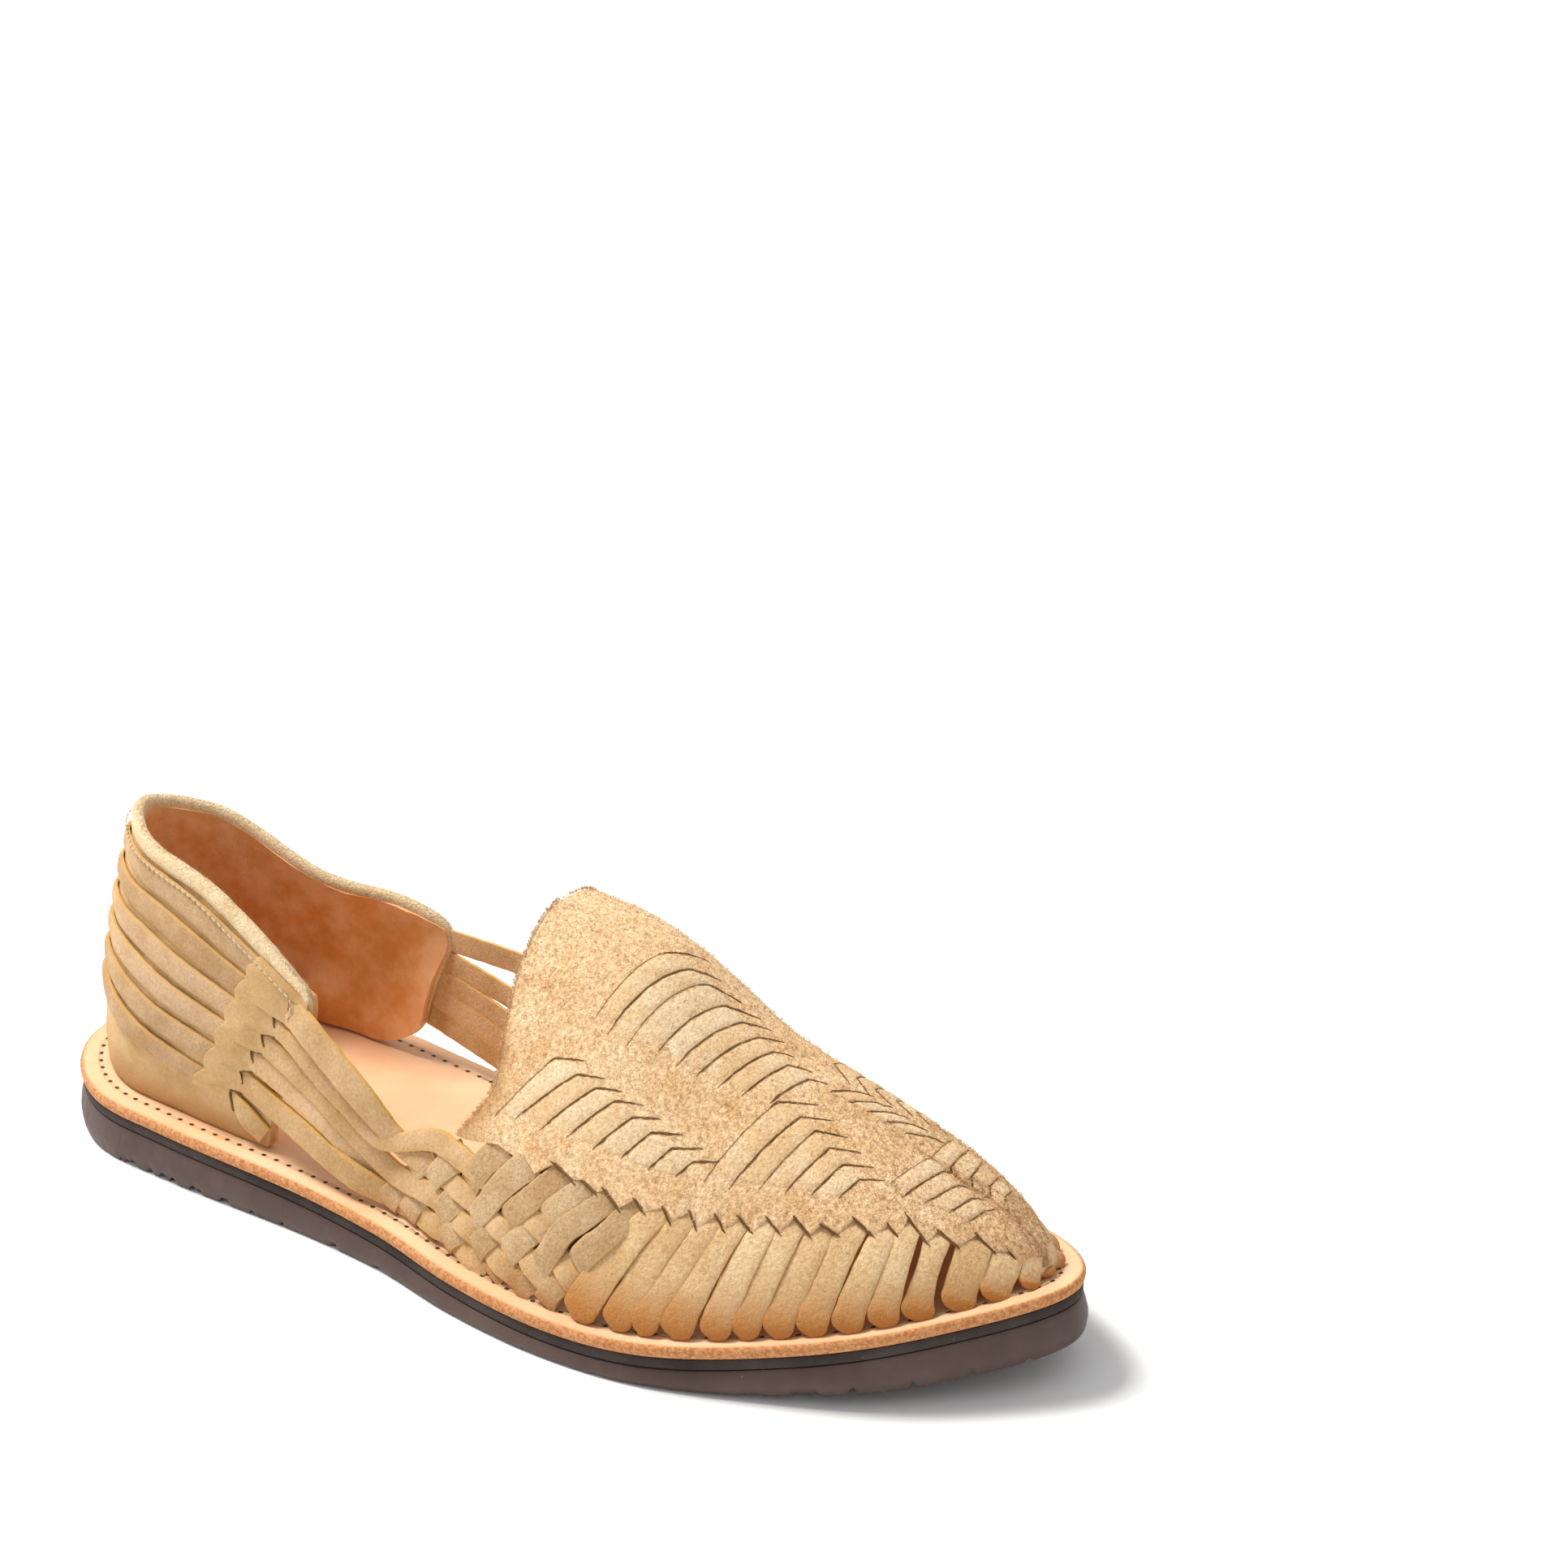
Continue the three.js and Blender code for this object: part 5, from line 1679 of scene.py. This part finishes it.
WING_FRONTS: dict[Side, WingFront] = {
    Side.OUTER: WingFront(0.04, 0.17, 0.01, 0.05, 0.83, 12),
    Side.INNER: WingFront(0.045, 0.17, 0.075, 0.34, 0.36, 30),
}


@dataclass(frozen=True)
class HeelQuarter:
    """The heel quarter: suede wall, wing panels, straps, collar binding and lining.

    around is the length of a whole turn at the collar. binding is the roll's half thickness and
    half height; stitches run stitch_drop below the collar. tuck is how far a side strap starts
    beneath its slit, and woven_width its width in the weave.
    """

    form: QuarterForm = QuarterForm()
    vamp: Vamp = Vamp()
    wall: float = 0.0018
    around: float = 0.19
    strap_width: float = 0.0062
    strap_rise: float = 0.0015
    panel_rise: float = 0.0021
    binding: tuple[float, float] = (0.0017, 0.0024)
    stitch_drop: float = 0.0044
    stitch_pitch: float = 0.0021
    stitch_share: float = 0.7
    stitch_rise: float = 0.0018
    heel_cut: StripCut = StripCut(thickness=0.0013, edge_drop=0.00055, samples=56, tilt=0.00012)
    strap_cut: StripCut = StripCut(thickness=0.0013, edge_drop=0.0003, samples=110, slant=0.0019, tilt=-0.0005)
    inner_cut: StripCut = StripCut(thickness=0.0013, edge_drop=0.0004, samples=96, slant=-0.0019)
    short_cut: StripCut = StripCut(thickness=0.0013, slant=0.0016)
    tuck: float = 0.0035
    slit_widths: tuple[float, float] = (0.0006, 0.0004)
    slit_rise: float = 0.00125
    woven_width: float = 0.0053

    def scallop(self, climb: Array) -> Array:
        """Turn of the wing panel's back edge: one round scallop over the end of each strap.

        Args:
            climb: Share of the way up the wall.

        Returns:
            The turn at each climb.
        """
        line = np.interp(climb, np.array(HEEL_STRAPS["end_climb"])[::-1], np.array(HEEL_STRAPS["end_turn"])[::-1])
        order = np.interp(climb, np.array(HEEL_STRAPS["end_climb"])[::-1], np.arange(6.0))
        return line + 0.004 + 0.009 * np.abs(np.cos(np.pi * order))

    def front(self, side: Side, climb: Array) -> Array:
        """Turn of the wing's front edge: quarter ellipses round its top and bottom corners.

        Args:
            side: Side of the shoe.
            climb: Share of the way up the wall.

        Returns:
            The turn from the wing's end at each climb.
        """
        wing = WING_FRONTS[side]
        over, below = np.clip((climb - 1 + wing.rise) / wing.rise, 0, 1), np.clip((wing.low - climb) / wing.low, 0, 1)
        return wing.reach * (1 - np.sqrt(1 - over ** 2)) + wing.foot * (1 - np.sqrt(1 - below ** 2))

    def zigzag(self, side: Side, climb: Array) -> Array:
        """Turn of the wing panel's front edge: the zigzag of slits, and the wing's front beyond it.

        Args:
            side: Side of the shoe.
            climb: Share of the way up the wall.

        Returns:
            The turn from the wing's end at each climb.
        """
        corners = np.array(ZIGZAG)[::-1]
        inside = eased((climb - corners[0, 1]) / 0.012) * eased((corners[-1, 1] - climb) / 0.006)
        cut = np.interp(climb, corners[:, 1], corners[:, 0])
        return cut * inside + (self.front(side, climb) + 0.0005) * (1 - inside)

    def sheet(self, turns: int, climb: Array) -> tuple[Array, Array]:
        """Grid of turns and climbs between the two rounded front edges.

        Args:
            turns: How many columns.
            climb: Climb of each row.

        Returns:
            Turn and climb of each point.
        """
        share, climb = np.meshgrid(np.linspace(0, 1, turns), climb, indexing="ij")
        first, last = self.front(Side.OUTER, climb), 1 - self.front(Side.INNER, climb)
        return first + (last - first) * share, climb

    def edge_path(self, drop: float) -> Array:
        """Rows of place and normal along the wings' front edges and the collar, moved in by a drop.

        Each corner is a quarter ellipse, and the drop turns with it from sideways to down.

        Args:
            drop: Distance from the edge.

        Returns:
            Rows of place and normal, from the outer to the inner wing.
        """
        angle = np.linspace(0, np.pi / 2, 24)
        rows = []
        for side in Side:
            wing = WING_FRONTS[side]
            low = np.linspace(wing.seam, 1 - wing.rise, wing.points)[:-1]
            turn = np.concatenate([0 * low, wing.reach * (1 - np.cos(angle))])
            climb = np.concatenate([low, 1 - wing.rise + wing.rise * np.sin(angle)])
            aside = np.concatenate([0 * low, angle])
            turn = turn + drop / self.around * np.cos(aside)
            rows.append(np.column_stack([mirrored(side, turn), climb, np.sin(aside)]))
        middle = np.linspace(0.045, 0.955, 200)[1:-1]
        outer, inner = rows
        path = np.vstack([outer, np.column_stack([middle, 1 + 0 * middle, 1 + 0 * middle]), inner[::-1]])
        height = self.form.height * smooth(COLLAR_LINE, "turn", "height", np.clip(path[:, 0], 0, 1))
        path[:, 1] -= drop / height * path[:, 2]
        return on_surface(self.form, path[:, :2])

    def back_wall(self) -> Shell:
        """Suede wall behind the straps, from the insole to the collar.

        Returns:
            The wall as a closed mesh.
        """
        turn, climb = self.sheet(230, np.concatenate([[0, 0.004, 0.012], np.linspace(0.025, 1, 76)]))
        place, normal = face_at(self.form, turn, climb)
        ripple = 0.0002 * wobble(place, 0.014, 21)
        thin = 0.0005 * (1 - eased(climb / 0.02))
        top = place + normal * (ripple - thin)[..., None]
        bottom = place - normal * (self.wall - 0.3 * thin)[..., None]
        # Painted shade: darker toward the insole at the foot of the wall.
        dark = 0.75 * (1 - eased(climb / 0.25))
        shell = Shell("heel_quarter_wall")
        shell.slab(top, bottom, **wall_maps(turn, 0.45, dark))
        return shell

    def wing_panel(self, side: Side) -> Shell:
        """Front panel that covers the ends of the heel straps with a scalloped edge.

        Its height rises within a millimetre of the scallops and falls off into the wall at its
        foot and toward its front.

        Args:
            side: Side of the shoe.

        Returns:
            The panel.
        """
        climb = np.unique(np.concatenate([np.linspace(0.14, 0.96, 130), np.array(ZIGZAG)[:, 1]]))[None, :]
        share = np.concatenate([np.linspace(0, 0.12, 12), np.linspace(0.15, 1, 34)])[:, None]
        edge = self.scallop(climb) + 0.012 * eased((0.26 - climb) / 0.12)
        turn = edge * (1 - share) + self.zigzag(side, climb) * share
        climb = np.broadcast_to(climb, turn.shape)
        place, normal = face_at(self.form, mirrored(side, turn), climb)
        rise = eased(share / 0.06) * eased((climb - 0.16) / 0.12)
        rise = rise * (1 - 0.35 * eased((share - 0.5) / 0.4)) * (1 - 0.3 * eased((climb - 0.9) / 0.06))
        high = -0.0004 + (self.panel_rise + 0.0004) * rise + 0.00014 * wobble(place, 0.006, 8)
        top = place + normal * high[..., None]
        bottom = place - normal * 0.0007
        dark = 0.3 * eased((0.4 - share) / 0.4) * eased((0.3 - climb) / 0.2) \
            + 0.35 * eased((climb - 0.6) / 0.3) * eased(share / 0.5)
        shell = Shell(f"wing_panel_{side.name.lower()}")
        shell.slab(top, bottom, **wall_maps(turn, 0.6, dark))
        return shell

    def heel_straps(self, side: Side) -> Shell:
        """Six diagonal straps from the back of the heel to the wing panel.

        Args:
            side: Side of the shoe.

        Returns:
            The straps as one mesh.
        """
        shell = Shell(f"heel_straps_{side.name.lower()}")
        table = {key: np.array(values) for key, values in HEEL_STRAPS.items()}
        share = np.array([0.0, 0.05, 0.12, 0.3, 0.5, 0.7, 0.88, 1.0])
        shift = 0.0 if side is Side.OUTER else -0.035
        for k in range(6):
            turn = table["start_turn"][k] + (table["end_turn"][k] - table["start_turn"][k]) * share
            climb = table["start_climb"][k] + shift * (1 - share) \
                + (table["end_climb"][k] - table["start_climb"][k]) * share
            line = on_surface(self.form, np.column_stack([mirrored(side, turn), climb]))
            high = np.array([0.2, 0.8, 1.0, 1.0, 1.0, 1.0, 0.9, 0.7]) * self.strap_rise
            wide = self.strap_width * np.array([0.65, 0.74, 0.8, 0.93, 1, 1, 0.97, 0.9])
            lay_strip(shell, np.column_stack([line, wide, high]), self.heel_cut, 10 * k + side.value + 1)
        return shell

    def strap_line(self, side: Side, slit: tuple[float, float], weave: Array, air: Array | None = None) -> Array:
        """Rows of place and normal of a side strap, from beneath a wing's slit into the weave.

        Args:
            side: Side of the shoe.
            slit: Turn and climb where the strap comes out.
            weave: Station, lift and level of each point in the weave.
            air: Points between the wing and the vamp; without them the strap is straight there.

        Returns:
            Rows of place and normal, two at the slit first.
        """
        start = on_surface(self.form, np.array([slit, slit]))
        end = on_surface(self.vamp.form, np.column_stack([weave[:, 0], side.value * (1 - weave[:, 1])]))
        share = np.array([0.33, 0.67])[:, None] if air is None else np.linspace(0, 1, len(air) + 2)[1:-1, None]
        if air is None:
            air = start[1, :3] * (1 - share) + end[0, :3] * share
        start[0, :3] -= self.tuck * unit(air[0] - start[1, :3])
        facing = unit(start[1, 3:6] * (1 - share) + end[0, 3:6] * share)
        return np.vstack([start, np.hstack([air, facing]), end])

    def side_straps(self) -> Shell:
        """Outer straps from the wing's slits through the air into the side weave.

        Returns:
            The straps as one mesh.
        """
        shell = Shell("side_straps_outer")
        under, over = self.vamp.under, self.vamp.over
        for k, row in enumerate(OUTER_STRAPS):
            weave, air = np.array(row.weave), np.array(row.air) / 1000
            line = self.strap_line(Side.OUTER, row.start, weave, air)
            high = np.concatenate([[0.0002, 0.0011], np.full(len(air), 0.0015), under + (over - under) * weave[:, 2]])
            wide = np.concatenate([row.width * np.array([0.9, 0.95] + [1.0] * len(air)),
                                   np.full(len(weave), self.woven_width)])
            lay_strip(shell, np.column_stack([line, wide, high]), self.strap_cut, 200 + k)
        short = on_surface(self.form, np.array([(0.0456, 0.226), (0.032, 0.19), (0.016, 0.14), (0.004, 0.09)]))
        lay_strip(shell, np.column_stack([short, [0.0048, 0.0062, 0.0064, 0.006], [0.0009, 0.0019, 0.0018, 0.0013]]),
                  self.short_cut, 210)
        return shell

    def inner_straps(self) -> Shell:
        """Inner straps from the far wing to the vamp's inner weave.

        Returns:
            The straps as one mesh.
        """
        shell = Shell("side_straps_inner")
        under, over = self.vamp.under, self.vamp.over
        for k, (slit, stations) in enumerate(INNER_STRAPS):
            weave = np.array(stations)
            high = np.concatenate([[0.0002, 0.0011, 0.0015, 0.0012], under + (over - under) * weave[:, 2]])
            wide = np.concatenate([[0.0056, 0.006, 0.0062, 0.006], np.full(len(weave), 0.0054)])
            line = self.strap_line(Side.INNER, slit, weave)
            lay_strip(shell, np.column_stack([line, wide, high]), self.inner_cut, 230 + k)
        return shell

    def wing_slits(self) -> Shell:
        """Dark zigzag lines of painted shade in the slits that the side straps come out of, on both wings.

        Returns:
            The slits as one mesh.
        """
        shell = Shell("wing_slits")
        corners = np.array(ZIGZAG)
        for side in Side:
            for k, (a, b) in enumerate(zip(corners[:-1], corners[1:])):
                where = a + (b - a) * np.linspace(0.35 if k == 0 else 0.0, 1, 10)[:, None]
                place, normal = face_at(self.form, mirrored(side, where[:, 0]), where[:, 1])
                wide = np.interp(np.linspace(0, 1, 10), [0, 0.2, 0.9, 1], [0.3, 1, 1, 0.5])
                self.vamp.line(shell, place, normal, wide * self.slit_widths[k % 2], np.full(10, self.slit_rise))
        return shell

    def collar_binding(self) -> Shell:
        """Rolled suede binding over the collar and round the fronts of the wings.

        Its section is an ellipse, taller than it is thick, that thins toward its two ends.

        Returns:
            The binding as a closed skin.
        """
        path, length = along_path(self.edge_path(0.0)[::3], 380)
        centre, out = path[:, :3], unit(path[:, 3:6])
        tangent = unit(np.gradient(centre, axis=0))
        lift = unit(np.cross(out, tangent))
        out = np.cross(tangent, lift)
        if lift[190, 2] < 0:
            lift = -lift
        angle = np.linspace(0, 2 * np.pi, 18, endpoint=False)
        thick, tall = self.binding
        ends = 0.55 + 0.45 * eased(np.minimum(length, length[-1] - length) / 0.03)
        size = (ends * (1 + 0.05 * wobble(centre, 0.006, 5)))[:, None, None]
        middle = centre - out * (self.wall / 2 - 0.0002) - lift * 0.0012
        rings = middle[:, None] + size * (out[:, None] * thick * np.cos(angle)[:, None]
                                          + lift[:, None] * tall * np.sin(angle)[:, None])
        shell = Shell("collar_binding")
        shell.tube(rings, np.zeros(rings.shape[:2] + (2,)), (0.3, 0.0), capped=True)
        return shell

    def collar_nap(self) -> Shell:
        """Loose fibres along the binding, round the collar and the fronts of the wings.

        Returns:
            The fibres as one mesh.
        """
        rng = np.random.default_rng(9)
        path, _ = along_path(self.edge_path(0.0)[::3], 2600)
        normal = unit(unit(path[:, 3:6]) * rng.uniform(-0.3, 1, (len(path), 1)) + [0, 0, 0.8])
        root = path[:, :3] - unit(path[:, 3:6]) * self.wall / 2 + normal * 0.0011
        shell = Shell("collar_nap")
        add_fibres(shell, root, normal, (0.0003, 0.0008), 0.00006, 0.6, rng)
        return shell

    def lining(self) -> Shell:
        """Lining sheet inside the quarter, with a soft fold low in the inner wing.

        Returns:
            The lining as a closed mesh.
        """
        turn, climb = self.sheet(210, np.linspace(0.012, 0.985, 76))
        place, normal = face_at(self.form, turn, climb)
        fold = 0.0036 * np.exp(-((turn - 0.88 + 0.1 * climb) / 0.03) ** 2 - ((climb - 0.26) / 0.16) ** 2)
        soft = 0.0005 * wobble(place, 0.022, 31) + 0.00015 * wobble(place, 0.006, 32)
        depth = self.wall + 0.0003 + np.maximum(fold + soft, -0.0002)
        top = place - normal * (depth + 0.0006)[..., None]
        bottom = place - normal * self.wall * 0.98
        shell = Shell("heel_lining")
        shell.slab(top, bottom, np.stack([turn * 0.2, climb * 0.07], -1),
                   np.stack([0 * turn, eased((climb - 0.8) / 0.18) + eased((0.12 - climb) / 0.1)], -1))
        return shell

    def stitches(self) -> Shell:
        """Stitches below the collar binding, round the corners of the wings.

        Returns:
            The stitches as one mesh.
        """
        shell = Shell("collar_stitches")
        path, length = along_path(self.edge_path(self.stitch_drop)[::3], 1600)
        centre = path[:, :3] + unit(path[:, 3:6]) * self.stitch_rise
        for k in range(int(length[-1] / self.stitch_pitch)):
            reach = (k + 0.5 + np.linspace(-0.5, 0.5, 4) * self.stitch_share) * self.stitch_pitch
            dash = np.stack([np.interp(reach, length, centre[:, j]) for j in range(3)], -1)
            add_cord(shell, dash, 0.00026, 6)
        return shell

    def dress(self) -> None:
        """Builds the wall, panels, straps, binding, lining and stitches."""
        # heel holds the strap suede's darker copy: painted shade on the heel straps.
        fine, strap, collar, heel = (suede.material() for suede in (FINE_SUEDE, SMOOTH_SUEDE, COLLAR_SUEDE, SHADED_HEEL_SUEDE))
        slot, node = "quarter_suede", "heel_quarter"
        self.back_wall().build(fine, slot, node)
        self.lining().build(Lining().material(), slot, node)
        self.side_straps().build(strap, slot, node)
        self.inner_straps().build(strap, slot, node)
        self.collar_binding().build(collar, slot, node)
        self.collar_nap().build(collar, slot, node, 180)
        self.wing_slits().build(SLIT_SUEDE.material(), slot, node)
        self.stitches().build(COLLAR_THREAD.material(), slot, node, 70)
        for side in Side:
            self.wing_panel(side).build(fine, slot, node)
            self.heel_straps(side).build(heel, slot, node)


@dataclass(frozen=True)
class Studio:
    """Pale floor, soft daylight and the photograph's camera."""

    azimuth: float = 34.82
    elevation: float = 21.83
    roll: float = -0.96
    distance: float = 1.1276
    lens: float = 85.83
    aim: tuple[float, float, float] = (-0.08506, 0.22976, 0.02)
    world: float = 0.6
    key: float = 24.0
    lamp_size: float = 0.5
    floor_half: float = 6.0
    glow_band: tuple[float, float] = (0.25, 0.9)
    glow: float = 0.6

    def axes(self) -> tuple[Array, Array, Array]:
        """Right, up and backward directions of the camera.

        Returns:
            Three unit vectors.
        """
        turn, tip, roll = np.radians([self.azimuth, self.elevation, self.roll])
        back = np.array([np.sin(turn) * np.cos(tip), -np.cos(turn) * np.cos(tip), np.sin(tip)])
        right = unit(np.cross([0.0, 0.0, 1.0], back))
        up = np.cross(back, right)
        return (np.cos(roll) * right + np.sin(roll) * up, np.cos(roll) * up - np.sin(roll) * right, back)

    def camera(self) -> None:
        """Places the camera and makes it the scene's own."""
        right, up, back = self.axes()
        matrix = np.eye(4)
        matrix[:3, 0], matrix[:3, 1], matrix[:3, 2] = right, up, back
        matrix[:3, 3] = np.array(self.aim) + back * self.distance
        data = bpy.data.cameras.new("photo_camera")
        data.lens, data.sensor_width, data.clip_start = self.lens, 36.0, 0.02
        camera = bpy.data.objects.new("photo_camera", data)
        camera.matrix_world = Matrix(matrix.tolist())
        bpy.context.scene.collection.objects.link(camera)
        bpy.context.scene.camera = camera

    def lights(self) -> None:
        """A white surrounding and one large soft lamp at the upper left."""
        world = bpy.data.worlds.new("daylight")
        world.use_nodes = True
        sky = world.node_tree.nodes["Background"].inputs
        sky["Color"].default_value, sky["Strength"].default_value = tint("FFFFFF"), self.world
        bpy.context.scene.world = world
        right, _, back = self.axes()
        data = bpy.data.lights.new("soft_lamp", "AREA")
        data.energy, data.size, data.color = self.key, self.lamp_size, (1.0, 0.985, 0.96)
        lamp = bpy.data.objects.new("soft_lamp", data)
        place = np.array([0.0, 0.0, 0.03]) - right * 0.6 + np.array([0, 0, 1.4]) - back * 0.3
        ahead = -unit(place)
        side = unit(np.cross(ahead, [0.0, 0.0, 1.0]))
        matrix = np.eye(4)
        matrix[:3, 0], matrix[:3, 1], matrix[:3, 2], matrix[:3, 3] = side, np.cross(side, ahead), -ahead, place
        lamp.matrix_world = Matrix(matrix.tolist())
        bpy.context.scene.collection.objects.link(lamp)
        bpy.context.scene.view_settings.view_transform = "Standard"

    def floor(self) -> None:
        """Wide pale floor that glows far from the shoe, as a white backdrop does."""
        mesh = bpy.data.meshes.new("floor")
        half = self.floor_half
        mesh.from_pydata([(-half, -half, 0), (half, -half, 0), (half, half, 0), (-half, half, 0)], [], [(0, 1, 2, 3)])
        nodes = Nodes("pale floor")
        speck = nodes.noise(0.002, 2.0)
        away = nodes.add("ShaderNodeVectorMath", {"operation": "LENGTH"}, n0=nodes.place()).outputs["Value"]
        glow = nodes.times(nodes.band(away, *self.glow_band), self.glow)
        mesh.materials.append(nodes.finish(nodes.mix(speck, tint("F7F7F8"), tint("FAFAFA")), 0.7,
                                           Emission_Color=tint("FFFFFF"), Emission_Strength=glow))
        floor = bpy.data.objects.new("floor", mesh)
        bpy.context.scene.collection.objects.link(floor)

    def dress(self) -> None:
        """Builds the stage."""
        self.camera()
        self.lights()
        self.floor()


def main() -> None:
    """Builds the stage, the sole, the vamp and the heel quarter."""
    logging.basicConfig(level=logging.INFO, format="%(name)s %(message)s")
    Studio().dress()
    SoleUnit().dress()
    Vamp().dress()
    HeelQuarter().dress()


if __name__ == "__main__":
    main()
